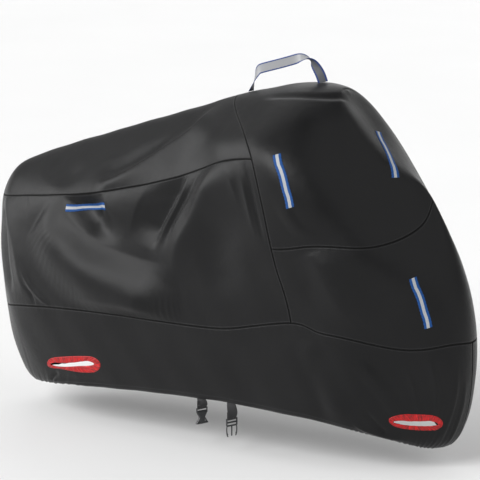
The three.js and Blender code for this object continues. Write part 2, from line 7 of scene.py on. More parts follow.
import math
import bpy
import numpy as np
from mathutils import Matrix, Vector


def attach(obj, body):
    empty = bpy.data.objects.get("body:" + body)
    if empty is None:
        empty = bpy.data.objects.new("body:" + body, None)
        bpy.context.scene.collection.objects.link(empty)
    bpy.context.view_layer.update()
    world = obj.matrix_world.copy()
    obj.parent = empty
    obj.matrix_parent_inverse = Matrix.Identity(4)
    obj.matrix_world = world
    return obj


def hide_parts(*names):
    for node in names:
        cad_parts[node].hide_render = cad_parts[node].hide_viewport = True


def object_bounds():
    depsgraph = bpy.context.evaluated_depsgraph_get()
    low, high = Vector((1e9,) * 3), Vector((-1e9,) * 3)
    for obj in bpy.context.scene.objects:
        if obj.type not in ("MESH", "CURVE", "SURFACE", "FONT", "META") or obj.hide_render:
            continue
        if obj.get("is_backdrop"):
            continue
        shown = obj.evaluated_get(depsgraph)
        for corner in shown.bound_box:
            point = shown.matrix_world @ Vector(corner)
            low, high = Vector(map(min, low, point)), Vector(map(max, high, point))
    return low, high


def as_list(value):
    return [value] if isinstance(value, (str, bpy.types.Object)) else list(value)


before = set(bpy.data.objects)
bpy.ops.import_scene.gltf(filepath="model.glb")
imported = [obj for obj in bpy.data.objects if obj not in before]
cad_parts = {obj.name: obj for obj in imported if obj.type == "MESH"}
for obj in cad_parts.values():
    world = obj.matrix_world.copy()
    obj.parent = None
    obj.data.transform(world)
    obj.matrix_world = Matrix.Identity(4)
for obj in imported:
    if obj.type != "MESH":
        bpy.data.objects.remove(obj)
cad_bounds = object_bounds()
BODY = "root"

# Sizes in millimetres
CROWN = np.array([300.0, 0.0, 1386.0])  # the model's origin in the sewing tables
CLOTH = 1.4  # thickness of the cloth
HEM_FOLD = 23  # height of the hem's doubled cloth
RIB_PITCH = 148  # mean distance between ribs, for the ripples
WEBBING = 38.0  # width of the straps and the handle
STRIP_WIDTH = 32.0
BUCKLE_HALF = 25.5  # half the buckle's width
FINE, PLAIN = 5.5, 9.0  # cell sizes of the cloth's grids
BESIDE_SEAM = (0.2, 1.0, 2.0, 3.2, 4.8, 7.0)  # rows beside a sewn edge

# Counts of cells
ROUTE_STEPS = 44  # straight steps of a fold's route
AROUND_SLOT = 168
STRIP_ROWS, STRIP_COLUMNS = 99, 17
SHELL_SIDES = 48  # round a buckle's hollow shell

# The cover's shape: a row for each rib from the tail's middle to the nose's middle on the
# right-hand side. Columns: spine, roof, upper seam, cross seam, belly, belt seam, skirt,
# hem bend and hem edge.
RIBS = {
    "tail": (
        (-960, 0, 983), (-1006, 0, 948), (-1046, 0, 858),
        (-1050, 0, 745), (-1046, 0, 590), (-1028, 0, 400),
        (-1004, 0, 265), (-966, 0, 152), (-926, 0, 114),
    ),
    "tail corner": (
        (-922, 0, 1001), (-962, -85, 962), (-966, -160, 862),
        (-970, -175, 760), (-966, -185, 605), (-942, -185, 420),
        (-922, -174, 285), (-886, -148, 158), (-856, -118, 120),
    ),
    "rear quarter": (
        (-800, 0, 1049), (-818, -150, 992), (-780, -255, 893),
        (-795, -285, 770), (-798, -300, 620), (-775, -298, 455),
        (-760, -280, 325), (-736, -246, 176), (-722, -220, 132),
    ),
    "seat back": (
        (-500, 0, 1149), (-470, -165, 1070), (-400, -300, 950),
        (-415, -325, 800), (-420, -345, 640), (-400, -345, 487),
        (-392, -330, 355), (-382, -302, 220), (-380, -284, 172),
    ),
    "seat": (
        (-180, 0, 1251), (-120, -165, 1180), (-10, -305, 1052),
        (-5, -335, 870), (20, -350, 670), (60, -350, 493),
        (60, -338, 365), (60, -312, 246), (60, -295, 198),
    ),
    "tank": (
        (-50, 0, 1293), (35, -180, 1235), (190, -350, 1128),
        (225, -362, 860), (255, -360, 690), (282, -345, 513),
        (285, -333, 380), (282, -310, 247), (280, -294, 198),
    ),
    "front seam": (
        (62, 0, 1332), (180, -200, 1280), (362, -388, 1162),
        (442, -378, 836), (477, -360, 700), (500, -333, 556),
        (505, -326, 395), (502, -305, 240), (500, -288, 190),
    ),
    "handlebar": (
        (215, 0, 1370), (320, -215, 1325), (480, -380, 1150),
        (580, -364, 856), (592, -348, 700), (600, -322, 536),
        (606, -308, 380), (605, -284, 224), (602, -266, 176),
    ),
    "fork": (
        (380, 0, 1401), (460, -192, 1334), (588, -326, 1126),
        (715, -330, 863), (730, -318, 700), (724, -298, 518),
        (732, -282, 355), (726, -254, 200), (714, -232, 156),
    ),
    "front quarter": (
        (505, 0, 1396), (556, -134, 1318), (676, -220, 1112),
        (826, -240, 868), (905, -205, 690), (905, -192, 480),
        (905, -174, 320), (888, -156, 160), (866, -134, 108),
    ),
    "nose corner": (
        (526, 0, 1387), (599, -84, 1310), (752, -92, 1116),
        (901, -70, 927), (1001, -92, 710), (1036, -98, 496),
        (1032, -92, 310), (984, -84, 138), (938, -70, 84),
    ),
    "nose": (
        (538, 0, 1380), (600, 0, 1305), (776, 0, 1120),
        (905, 0, 1003), (1033, 0, 722), (1076, 0, 494),
        (1074, 0, 310), (1032, 0, 140), (976, 0, 82),
    ),
}
NOSE = len(RIBS) - 1  # the rib number at the nose, from where the far side runs on
ROUND = 2 * NOSE
UPPER, CROSS, BELT, HEM = 2, 3, 5, 8  # line numbers of the seams and the hem edge
FRONT = 6  # rib number of the seam between the rear and the front

# Folds of the cloth along routes of (rib number, line number) points. Columns: name, kind,
# height, reach to the left and to the right of the route at its start and end, shares of the
# route over which it fades in and out, the two lines that hold it flat, route.
FOLDS = (
    ("swag", "swag", 50, (30, 30), (230, 430), 0.3, 0.24, (2, 5),
     ((2.48, 1.88), (2.56, 2.14), (2.70, 2.58), (2.88, 2.96), (3.07, 3.24), (3.24, 3.42),
      (3.42, 3.56), (3.60, 3.66), (3.80, 3.72), (3.98, 3.70))),
    ("pocket", "swag", -54, (30, 30), (120, 330), 0.34, 0.02, (2, 5),
     ((3.36, 3.52), (3.07, 3.24), (2.88, 2.96), (2.70, 2.58), (2.56, 2.14), (2.48, 1.88))),
    ("dark valley", "crease", -28, (30, 22), (165, 110), 0.02, 0.25, (2, 5),
     ((4.06, 1.96), (3.97, 2.20), (3.87, 2.59), (3.75, 3.03), (3.66, 3.50))),
    ("low ridge", "crest", 8, (28, 20), (30, 22), 0.02, 0.3, (2, 5),
     ((4.20, 1.96), (4.12, 2.14), (3.99, 2.61), (3.85, 3.04), (3.74, 3.50))),
    ("thin valley", "crest", -9, (30, 22), (26, 20), 0.02, 0.3, (2, 5),
     ((4.43, 1.98), (4.34, 2.12), (4.10, 2.55), (3.94, 3.00), (3.79, 3.56))),
    ("high ridge", "crest", 36, (220, 150), (120, 130), 0.02, 0.4, (2, 5),
     ((4.88, 1.96), (4.78, 2.12), (4.53, 2.48), (4.27, 2.93), (4.04, 3.40), (3.94, 3.79),
      (3.86, 4.20))),
    ("knee hollow", "soft", -10, (130, 120), (130, 120), 0.3, 0.3, (2, 5),
     ((5.05, 2.60), (4.85, 3.40), (4.95, 4.50))),
    ("knee facet", "crest", 7, (26, 22), (44, 34), 0.02, 0.5, (2, 5),
     ((5.24, 1.98), (5.33, 2.20), (5.42, 2.60))),
    ("seam pleat", "crest", 6, (14, 12), (34, 30), 0.05, 0.4, (2, 5),
     ((5.62, 1.96), (5.63, 2.40), (5.72, 2.95))),
    ("seam valley", "crest", -8, (22, 20), (22, 18), 0.05, 0.4, (2, 5),
     ((5.75, 1.96), (5.76, 2.36), (5.81, 2.65), (5.88, 3.00))),
    ("roof ridge", "crest", 25, (90, 70), (170, 120), 0.08, 0.25, (-2, 2),
     ((2.96, 1.98), (3.34, 1.71), (3.66, 1.43), (4.15, 1.20), (4.87, 0.86), (5.65, 0.26))),
    ("roof hollow", "soft", -9, (80, 80), (60, 60), 0.3, 0.3, (-2, 2),
     ((2.90, 1.62), (3.40, 1.36), (4.00, 1.05))),
    ("tail roof hollow", "soft", -8, (90, 90), (90, 90), 0.3, 0.3, (-2, 2),
     ((2.30, 0.70), (2.75, 1.75))),
    ("tail streak", "crest", 9, (110, 90), (60, 60), 0.05, 0.15, (2, 5),
     ((1.35, 1.98), (1.52, 2.50), (1.80, 3.15), (1.99, 3.80), (2.06, 4.85))),
    ("tail hollow", "crease", -12, (40, 36), (70, 60), 0.2, 0.15, (2, 5),
     ((1.12, 2.40), (1.46, 3.10), (1.62, 3.80), (1.66, 4.80))),
    ("second tail pleat", "crest", 8, (22, 30), (26, 20), 0.5, 0.06, (2, 5),
     ((2.05, 3.90), (2.24, 4.50), (2.50, 5.02))),
    ("short pleat", "crest", -7, (16, 14), (16, 22), 0.6, 0.06, (2, 5),
     ((2.06, 4.35), (2.22, 4.70), (2.26, 5.02))),
    ("under seam pleat", "crest", -6, (14, 30), (16, 30), 0.02, 0.7, (2, 5),
     ((2.00, 1.99), (2.03, 2.20), (2.10, 2.80))),
    ("shin swell", "crest", 15, (190, 150), (110, 100), 0.1, 0.4, (3, 5),
     ((7.08, 2.98), (7.40, 3.60), (7.85, 4.30), (8.40, 4.90))),
    ("crown crease", "soft", -6, (34, 34), (24, 24), 0.25, 0.25, (-3, 3),
     ((6.80, 0.62), (7.60, 0.72), (8.60, 0.66), (9.60, 0.56), (10.60, 0.62))),
    ("cheek band", "soft", 6, (30, 34), (46, 40), 0.3, 0.4, (-3, 3),
     ((6.55, 2.30), (6.78, 2.62), (7.10, 2.82), (7.70, 2.92))),
    ("skirt drape", "soft", 9, (70, 70), (70, 70), 0.2, 0.3, (5, 9),
     ((6.30, 5.25), (7.20, 6.20), (7.90, 7.20))),
    ("second skirt drape", "soft", 7, (50, 44), (46, 40), 0.3, 0.3, (5, 9),
     ((8.10, 5.40), (8.55, 6.10), (8.85, 6.70))),
    ("slot gather", "crest", 7, (24, 16), (34, 22), 0.5, 0.1, (5, 9),
     ((8.95, 5.25), (9.12, 5.90), (9.22, 6.40))),
    ("slot gather 2", "crest", 7, (22, 16), (30, 20), 0.4, 0.15, (5, 9),
     ((9.45, 5.05), (9.60, 5.80), (9.74, 6.50))),
    ("nose gather", "crest", 6, (20, 16), (26, 20), 0.4, 0.3, (5, 9),
     ((10.20, 5.30), (10.22, 6.20), (10.05, 7.40))),
    ("nose gather 2", "crest", 5, (18, 14), (22, 18), 0.4, 0.3, (5, 9),
     ((10.60, 5.60), (10.62, 6.50), (10.50, 7.60))),
    ("rear hem crease", "crest", 8, (24, 24), (16, 16), 0.15, 0.4, (5, 9),
     ((2.20, 7.30), (2.42, 7.50), (2.75, 7.62), (3.20, 7.75))),
    ("rear hem tuck", "crest", -8, (16, 14), (20, 16), 0.3, 0.2, (5, 9),
     ((2.42, 6.90), (2.30, 7.15), (2.22, 7.45))),
    ("front hem crease", "crest", 9, (26, 30), (16, 16), 0.2, 0.3, (5, 9),
     ((7.95, 7.10), (8.25, 7.36), (8.60, 7.52), (9.10, 7.60))),
    ("front hem tuck", "crest", -9, (18, 20), (22, 18), 0.4, 0.2, (5, 9),
     ((8.20, 6.55), (8.42, 6.95), (8.66, 7.30))),
    ("far swag", "swag", 28, (30, 30), (300, 300), 0.2, 0.06, (2, 5),
     ((18.05, 3.70), (18.35, 3.62), (18.75, 3.38), (19.15, 2.96), (19.40, 2.45), (19.55, 1.92))),
    ("far pocket", "crease", -17, (20, 160), (60, 80), 0.5, 0.02, (2, 5),
     ((18.75, 3.38), (19.15, 2.96), (19.40, 2.45), (19.55, 1.92))),
    ("far ridge", "crest", 21, (90, 110), (180, 150), 0.02, 0.4, (2, 5),
     ((17.10, 1.98), (17.45, 2.40), (17.85, 3.00), (18.10, 3.60), (18.25, 4.50))),
    ("far low ridge", "crest", 9, (30, 24), (34, 24), 0.05, 0.3, (2, 5),
     ((17.72, 1.98), (17.95, 2.55), (18.20, 3.30))),
    ("far knee hollow", "soft", -12, (120, 110), (120, 110), 0.3, 0.3, (2, 5),
     ((16.95, 2.60), (17.20, 3.60), (17.05, 4.60))),
    ("far tail streak", "crest", 10, (44, 40), (90, 80), 0.05, 0.2, (2, 5),
     ((20.60, 1.98), (20.30, 2.90), (20.05, 3.80), (19.95, 4.90))),
    ("far skirt drape", "soft", 9, (75, 75), (75, 75), 0.3, 0.3, (5, 9),
     ((15.50, 5.25), (14.80, 6.30), (14.20, 7.20))),
    ("far shin swell", "soft", 11, (100, 90), (100, 90), 0.1, 0.4, (3, 5),
     ((14.90, 2.98), (14.50, 3.70), (13.90, 4.60))),
    ("far roof ridge", "soft", 12, (90, 70), (80, 60), 0.2, 0.2, (-2, 2),
     ((2.90, -1.98), (3.60, -1.45), (4.70, -0.95), (5.60, -0.42))),
    ("far hem tuck", "crest", -7, (18, 16), (18, 16), 0.4, 0.2, (5, 9),
     ((13.80, 6.55), (13.58, 6.95), (13.36, 7.35))),
)

# Ripples where the hem is drawn in. Columns: middle rib, half width in ribs, top and bottom
# line, distance from crest to crest, height, lean.
RIPPLES = (
    (9.95, 1.50, 5.05, 8.0, 27, 2.2, 0.6),
    (9.20, 0.80, 6.60, 8.0, 21, 1.6, -0.5),
    (2.20, 0.90, 6.70, 8.0, 19, 1.7, 0.8),
    (1.10, 1.10, 5.30, 8.0, 34, 2.0, 0.3),
    (12.05, 1.50, 5.05, 8.0, 27, 2.2, 0.6),
    (19.80, 0.90, 6.70, 8.0, 19, 1.7, -0.8),
    (20.90, 1.10, 5.30, 8.0, 34, 2.0, 0.3),
    (8.10, 0.45, 6.90, 8.0, 16, 1.8, 0.9),
)

# Where the trimmings are sewn on: (rib number, line number) of a strip's two ends.
STRIPS = {
    "rear": ((2.65, 2.34), (3.10, 2.37)),
    "upper": ((6.99, 1.87), (6.90, 2.51)),
    "lower": ((9.22, 3.72), (9.41, 4.64)),
}
CENTRE_STRIP = ((11.20, 1.34), (10.22, 2.12))

# The slots: the two ends of the opening, and its outline and the tape's round it in the
# plane of the slot. Columns: along and across for the opening, then for the tape.
SLOTS = {
    "rear": ((2.32, 6.67), (2.95, 6.61), (
        (-118, -6, -138, -9), (-93, 2, -119, 14), (-59, 3, -66, 27), (5, 6, 10, 33),
        (62, 12, 80, 35), (105, 14, 133, 31), (127, 3, 160, 6), (103, -6, 140, -23),
        (62, -9, 95, -36), (20, -11, 20, -34), (-44, -15, -64, -25), (-97, -14, -121, -22))),
    "front": ((8.73, 6.79), (9.83, 6.63), (
        (-94, 8, -109, 14), (-70, 14, -97, 29), (-41, 13, -62, 39), (-9, 14, -17, 41),
        (27, 16, 27, 41), (54, 15, 67, 34), (74, 2, 90, 8), (52, -5, 76, -17),
        (22, -7, 42, -23), (-15, -7, -11, -23), (-49, -5, -59, -18), (-76, 0, -94, -6))),
}

# The handle: rows from its rear foot to its front foot. Columns: x, z and roll, the turn of
# the ribbon's width from straight across the cover, at 0 degrees, to square to its path.
HANDLE = (
    (110, 1347, 0), (121, 1378, 24), (130, 1400, 40), (143, 1427, 68), (166, 1440, 84),
    (228, 1458, 90), (297, 1479, 88), (332, 1489, 55), (363, 1487, -5), (385, 1475, -70),
    (407, 1449, -105), (420, 1427, -118), (430, 1403, -124),
)
# The straps behind the hem. Columns: rib, drop from the hem to the buckle's bar, turn of
# the buckle half in degrees.
STRAPS = {"socket": (4.04, 38, 70), "prong": (4.62, 62, 70)}


# Splines


def spline_weights(t, count, closed):
    """Rows of weights that count evenly spaced knots have at each t on a cubic spline, which
    has no bend at its ends or is closed: the second derivatives solve the usual system in
    which neighbours weigh 1, 4 and 1, and each piece is the cubic with its ends' bends."""
    here = np.arange(count) if closed else np.arange(1, count - 1)
    system, change = np.zeros((2, count, count))
    for step, weight, difference in ((-1, 1, 6), (0, 4, -12), (1, 1, 6)):
        system[here, (here + step) % count] += weight
        change[here, (here + step) % count] += difference
    if not closed:
        system[[0, -1], [0, -1]] = 1
    bends = np.linalg.solve(system, change)
    cell = np.floor(t).astype(int)
    if not closed:
        cell = np.clip(cell, 0, count - 2)
    after = (t - cell)[:, None]
    before = 1 - after
    low, high = cell % count, (cell + 1) % count
    knots = np.eye(count)
    return (
        before * knots[low] + after * knots[high]
        + (before**3 - before) / 6 * bends[low] + (after**3 - after) / 6 * bends[high]
    )


def smooth_rows(rows, count):
    """A table's columns carried smoothly over count places from its first row to its last."""
    rows = np.array(rows, float)
    return spline_weights(np.linspace(0, len(rows) - 1, count), len(rows), False) @ rows


# The smooth cover

MIRROR = np.array([1, -1, 1])
half = np.array(list(RIBS.values()), float)
loop = np.concatenate([half, (half * MIRROR)[-2:0:-1]])
NET = np.concatenate([loop[:, :0:-1] * MIRROR, loop], axis=1)


def rib_weights(u):
    """The ribs' weights at each rib number, round the whole cover."""
    return spline_weights(np.asarray(u, float), NET.shape[0], True)


def line_weights(v):
    """The lines' weights at each line number, from the far hem over the spine to the near."""
    return spline_weights(np.asarray(v, float) + HEM, NET.shape[1], False)


def form(u, v):
    """The cover without folds at pairs of rib number u and line number v: both splines'
    weights times the net of guide points. Negative lines are beyond the spine."""
    along = (rib_weights(u) @ NET.reshape(ROUND, -1)).reshape(len(u), -1, 3)
    return (along * line_weights(v)[:, :, None]).sum(1)


def form_grid(u, v):
    """The same at every u crossed with every v."""
    along = (rib_weights(u) @ NET.reshape(ROUND, -1)).reshape(len(u), -1, 3)
    return line_weights(v) @ along


def unit(vectors):
    """Vectors of length 1."""
    return vectors / np.maximum(np.linalg.norm(vectors, axis=-1, keepdims=True), 1e-9)


STEP = 0.01  # of a rib or a line, for differences


def outward(u, v):
    """The smooth cover's normal at pairs: the way down a rib crossed with the way along."""
    along = form(u + STEP, v) - form(u - STEP, v)
    return unit(np.cross(form(u, v + STEP) - form(u, v - STEP), along))


def outward_grid(u, v):
    """The same on a grid. Where all ribs meet, at the spine's ends, it is the next row's."""
    along = form_grid(u + STEP, v) - form_grid(u - STEP, v)
    normals = np.cross(form_grid(u, v + STEP) - form_grid(u, v - STEP), along)
    flat = np.linalg.norm(normals, axis=-1) < 1e-4
    for end, inner in ((0, 1), (-1, -2)):
        normals[end][flat[end]] = normals[inner][flat[end]]
    return unit(normals)


# Folds

HELD = 0.4  # how far from a line that holds it flat, in lines, a fold has its full height
SWAG_RISE = 0.4  # share of a swag's reach over which it rises


def fade(share, start, end):
    """0 at both ends of a route and 1 in between, over the given shares of it."""
    rise = np.clip(share / start, 0, 1)
    fall = np.clip((1 - share) / end, 0, 1)
    return rise * rise * (3 - 2 * rise) * fall * fall * (3 - 2 * fall)


def soft(reach):
    """A raised cosine of the distance, given as a share of the fold's reach."""
    return (1 + np.cos(np.pi * np.minimum(reach, 1))) / 2


def crest(reach):
    """A rounded edge with hollow sides that run out: the square of the reach that is left."""
    return np.clip(1.05 - np.sqrt(reach * reach + 0.012), 0, 1) ** 2


def crease(reach):
    """A rounded edge with straight sides."""
    left = np.clip(1.04 - np.sqrt(reach * reach + 0.006), 0, 1)
    return left * np.minimum(left * 8, 1)


def swag(reach, above):
    """A hanging swag: flat above its rim, and below it the cloth rolls out to a full belly
    that dies away. With a negative height it is a pocket behind the rim."""
    out = np.clip(reach / SWAG_RISE, 0, 1)
    rise = 0.35 * out * (2 - out) + 0.65 * out * out * (3 - 2 * out)
    return np.where(above, 0.0, rise * soft(np.clip((reach - SWAG_RISE) / (1 - SWAG_RISE), 0, 1)))


def routes():
    """Each fold's route as points of the smooth cover with the normals there."""
    for _, *fold, route in FOLDS:
        u, v = smooth_rows(route, ROUTE_STEPS + 1).T
        yield *fold, form(u, v), outward(u, v)


ROUTES = list(routes())


def fold_lift(points, v):
    """How far the folds raise points of the smooth cover, given with their line numbers: for
    each fold its profile over the distance to the nearest step of its route, times its fade
    along the route and towards the two lines that hold it flat."""
    lift = np.zeros(len(points))
    for kind, height, left, right, start, end, held, line, normals in ROUTES:
        reach = max(left + right)
        low, high = line.min(0) - reach, line.max(0) + reach
        boxed = ((points > low) & (points < high)).all(1)
        near = np.flatnonzero(boxed & (v > held[0]) & (v < held[1]))
        if len(near) == 0:
            continue
        steps = np.diff(line, axis=0)
        offsets = points[near, None] - line[None, :-1]
        share = np.clip((offsets * steps).sum(2) / (steps * steps).sum(1), 0, 1)
        offsets = offsets - share[..., None] * steps
        distance = np.linalg.norm(offsets, axis=2)
        best = distance.argmin(1)
        rows = np.arange(len(near))
        on_left = (np.cross(steps[best], offsets[rows, best]) * normals[best]).sum(1) > 0
        along = (best + share[rows, best]) / ROUTE_STEPS
        wide_left = left[0] + (left[1] - left[0]) * along
        wide_right = right[0] + (right[1] - right[0]) * along
        width = np.where(on_left, wide_left, wide_right)
        ratio = distance[rows, best] / width
        if kind == "swag":
            profile = swag(ratio, on_left)
        else:
            profile = {"soft": soft, "crest": crest, "crease": crease}[kind](ratio)
        inner = np.clip(np.minimum(v[near] - held[0], held[1] - v[near]) / HELD, 0, 1)
        lift[near] += height * profile * fade(along, start, end) * np.sin(inner * np.pi / 2)
    return lift


def ripple_lift(u, v, points):
    """Drawn-in ripples: two sines of the way round, in a window of ribs and lines, that
    grow towards the hem, and a slow unevenness of the whole cloth."""
    x, y, z = points[..., 0], points[..., 1], points[..., 2]
    lift = 0.9 * np.sin(x / 61 + 1.3 * np.sin(z / 83)) * np.sin(z / 57 + y / 90 + 0.6)
    lift += 0.7 * np.sin(x / 31 + z / 47 + 2.0 * np.sin(y / 70))
    for middle, wide, top, bottom, crest_to_crest, height, lean in RIPPLES:
        window = soft(np.abs((u - middle) / wide))
        depth = np.clip((v - top) / (bottom - top), 0, 1)
        way = u * RIB_PITCH / crest_to_crest * 2 * np.pi + lean * 6 * depth
        wave = np.sin(way) + 0.55 * np.sin(1.63 * way + 1.1 + 2 * depth)
        lift += height * window * depth ** 1.2 * wave / 1.3
    return lift


def cloth(u, v):
    """Points of the folded cloth at pairs."""
    points = form(u, v)
    lift = fold_lift(points, v) + ripple_lift(u, v, points)
    return points + outward(u, v) * lift[:, None]


def cloth_normal(u, v):
    """The folded cloth's normal at pairs."""
    along = cloth(u + STEP, v) - cloth(u - STEP, v)
    return unit(np.cross(cloth(u, v + STEP) - cloth(u, v - STEP), along))


# Meshes


def grid_faces(rows, columns, wrap_rows=False, wrap_columns=False):
    """Corner numbers of the quads of a grid, which may close on itself either way."""
    i = np.arange(rows if wrap_rows else rows - 1)[:, None]
    j = np.arange(columns if wrap_columns else columns - 1)[None, :]
    row, next_row, j_next = i * columns, (i + 1) % rows * columns, (j + 1) % columns
    corners = (row + j, row + j_next, next_row + j_next, next_row + j)
    return np.stack([np.broadcast_to(c, (i.size, j.size)) for c in corners], -1).reshape(-1, 4)


def closed_tube(rings):
    """Points, faces and two end caps of a tube, given as its rings of points in order."""
    rows, count = rings.shape[:2]
    ends = [tuple(range(count)), tuple(range(rows * count - 1, (rows - 1) * count - 1, -1))]
    return rings.reshape(-1, 3), grid_faces(rows, count, False, True), ends


def make_piece(name, points, faces, finish, slot, replaced, cut=None, attributes=None, caps=()):
    """A mesh object from points in table millimetres. cut gives each point's place on the
    flat cloth in metres, as a UV map, and attributes its other numbers. Caps are rings."""
    mesh = bpy.data.meshes.new(name)
    metres = (np.asarray(points).reshape(-1, 3) - CROWN) / 1000
    corners = [tuple(face) for face in np.asarray(faces).tolist()] + [tuple(ring) for ring in caps]
    mesh.from_pydata(metres.tolist(), [], corners)
    mesh.polygons.foreach_set("use_smooth", np.ones(len(mesh.polygons), bool))
    if cut is not None:
        layer = mesh.uv_layers.new(name="cut")
        used = np.empty(len(mesh.loops), int)
        mesh.loops.foreach_get("vertex_index", used)
        layer.data.foreach_set("uv", np.asarray(cut, np.float32).reshape(-1, 2)[used].ravel())
    for label, values in (attributes or {}).items():
        data = mesh.attributes.new(label, "FLOAT", "POINT").data
        data.foreach_set("value", np.asarray(values, np.float32).ravel())
    piece = bpy.data.objects.new(name, mesh)
    bpy.context.collection.objects.link(piece)
    mesh.materials.append(finish)
    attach(piece, BODY)
    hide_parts(replaced)
    return piece


def thicken(piece, thickness, inner=None):
    """Gives a sheet its wall, and its inner face a finish of its own."""
    wall = piece.modifiers.new("wall", "SOLIDIFY")
    if inner is not None:
        piece.data.materials.append(inner)
        wall.material_offset = 1
    wall.thickness = thickness / 1000
    wall.offset = -1
    wall.use_even_offset = True


# Panels

ALL = ("start", "end", "top", "bottom")  # a panel's edges

def even_steps(line, low, high, cell, sewn_low, sewn_high):
    """Parameters whose points lie a cell apart on a line, closer beside sewn edges."""
    fine = np.linspace(low, high, 500)
    length = np.concatenate([[0], np.cumsum(np.linalg.norm(np.diff(line(fine), axis=0), axis=1))])
    total = length[-1]
    places = np.linspace(0, total, max(int(total / cell), 4) + 1)
    rows = np.array(BESIDE_SEAM)
    if sewn_low:
        places = np.concatenate([rows, places[places > rows[-1] + cell / 2]])
    if sewn_high:
        places = np.concatenate([places[places < total - rows[-1] - cell / 2], total - rows[::-1]])
    return np.interp(places, length, fine)


def lengths(points, axis):
    """Distance along a grid's lines from their first point."""
    steps = np.linalg.norm(np.diff(points, axis=axis), axis=-1)
    start = np.zeros_like(np.take(steps, [0], axis))
    return np.concatenate([start, np.cumsum(steps, axis)], axis)


def seam_dip(distance):
    """How far the cloth is pulled in beside a seam: a bell of the distance from it."""
    return -1.6 * np.exp(-((distance / 2.2) ** 2))


def inside(points, outline):
    """Which points lie within a closed outline, by counting the edges to their right."""
    a, b = outline, np.roll(outline, -1, axis=0)
    x, y = points[:, 0, None], points[:, 1, None]
    crosses = (a[:, 1] > y) != (b[:, 1] > y)
    rise = np.where(b[:, 1] == a[:, 1], 1e-9, b[:, 1] - a[:, 1])
    return (crosses & (x < (b[:, 0] - a[:, 0]) * (y - a[:, 1]) / rise + a[:, 0])).sum(1) % 2 == 1


def panel(name, around, down, cell, sewn, zipped=None, slots=()):
    """A panel of cloth over a range of ribs and lines. sewn says which of its start, end,
    top and bottom edges are seams. A zipped end, at the tail or the nose of a panel that
    passes over the spine, is where its two halves meet."""
    middle_u, middle_v = np.mean(around), 0.6 * down[1] + 0.4 * max(down[0], 0)
    starts, ends, tops, bottoms = (edge in sewn for edge in ALL)
    u = even_steps(lambda t: form(t, np.full_like(t, middle_v)), *around, cell, starts, ends)
    v = even_steps(lambda t: form(np.full_like(t, middle_u), t), *down, cell, tops, bottoms)
    if zipped is not None:
        v = (v - v[::-1]) / 2
    base = form_grid(u, v)
    run, fall = lengths(base, 0), lengths(base, 1)
    far = np.full(run.shape, 1e3)
    beside = np.minimum(fall if tops else far, fall[:, -1:] - fall if bottoms else far)
    at_ends = np.minimum(run if starts else far, run[-1:] - run if ends else far)
    above_hem = fall[:, -1:] - fall if down[1] == HEM else far
    uu, vv = np.meshgrid(u, v, indexing="ij")
    rib = np.where(vv < 0, ROUND - uu, uu)
    lift = fold_lift(base.reshape(-1, 3), vv.ravel()).reshape(uu.shape)
    lift += ripple_lift(rib, np.abs(vv), base)
    lift += seam_dip(beside) + seam_dip(at_ends)
    pucker = np.exp(-beside / 14) * np.sin(run / 5.2 + 2 * np.sin(run / 31))
    pucker += np.exp(-at_ends / 14) * np.sin(fall / 5.2 + 2 * np.sin(fall / 31))
    lift += 0.35 * pucker * np.clip(np.minimum(beside, at_ends) / 3, 0, 1)
    lift += 0.5 * np.clip((HEM_FOLD - above_hem) / 1.5, 0, 1)
    lift -= 0.8 * np.clip((1.2 - above_hem) / 1.2, 0, 1)
    points = base + outward_grid(u, v) * lift[..., None]
    faces = grid_faces(len(u), len(v))
    flat_points = points.reshape(-1, 3)
    keep = np.ones(len(faces), bool)
    for slot in slots:
        place = slot_place(slot)
        opening, edge = slot_outlines(slot)
        outline = opening * 0.62 + edge * 0.38  # under the tape
        axes = np.stack([place["along"], place["across"], place["out"]], 1)
        local = (flat_points - place["middle"]) @ axes
        hidden = inside(local[:, :2], outline) & (np.abs(local[:, 2]) < 60)
        keep &= ~hidden[faces].all(1)
    faces = faces[keep]
    if zipped is not None:
        row = 0 if zipped == "start" else len(u) - 1
        numbers = np.arange(len(flat_points))
        columns = np.arange(len(v))
        numbers[row * len(v) + columns] = row * len(v) + np.maximum(columns, len(v) - 1 - columns)
        faces = numbers[faces]
    kept = np.unique(faces)
    renumber = np.zeros(len(flat_points), int)
    renumber[kept] = np.arange(len(kept))
    faces = renumber[faces]
    same = (faces == np.roll(faces, -1, axis=1)).any(1)
    corners = [
        tuple(dict.fromkeys(face)) if twin else tuple(face)
        for face, twin in zip(faces.tolist(), same.tolist())
    ]
    piece = make_piece(
        "cloth_" + name, flat_points[kept], np.zeros((0, 4), int), COATED_CLOTH, "cloth", name,
        cut=np.stack([run, fall], -1).reshape(-1, 2)[kept] / 1000,
        attributes={
            "beside": beside.ravel()[kept], "at_ends": at_ends.ravel()[kept],
            "above_hem": above_hem.ravel()[kept],
        },
        caps=corners,
    )
    thicken(piece, CLOTH, LINING)
    return piece


# Finishes


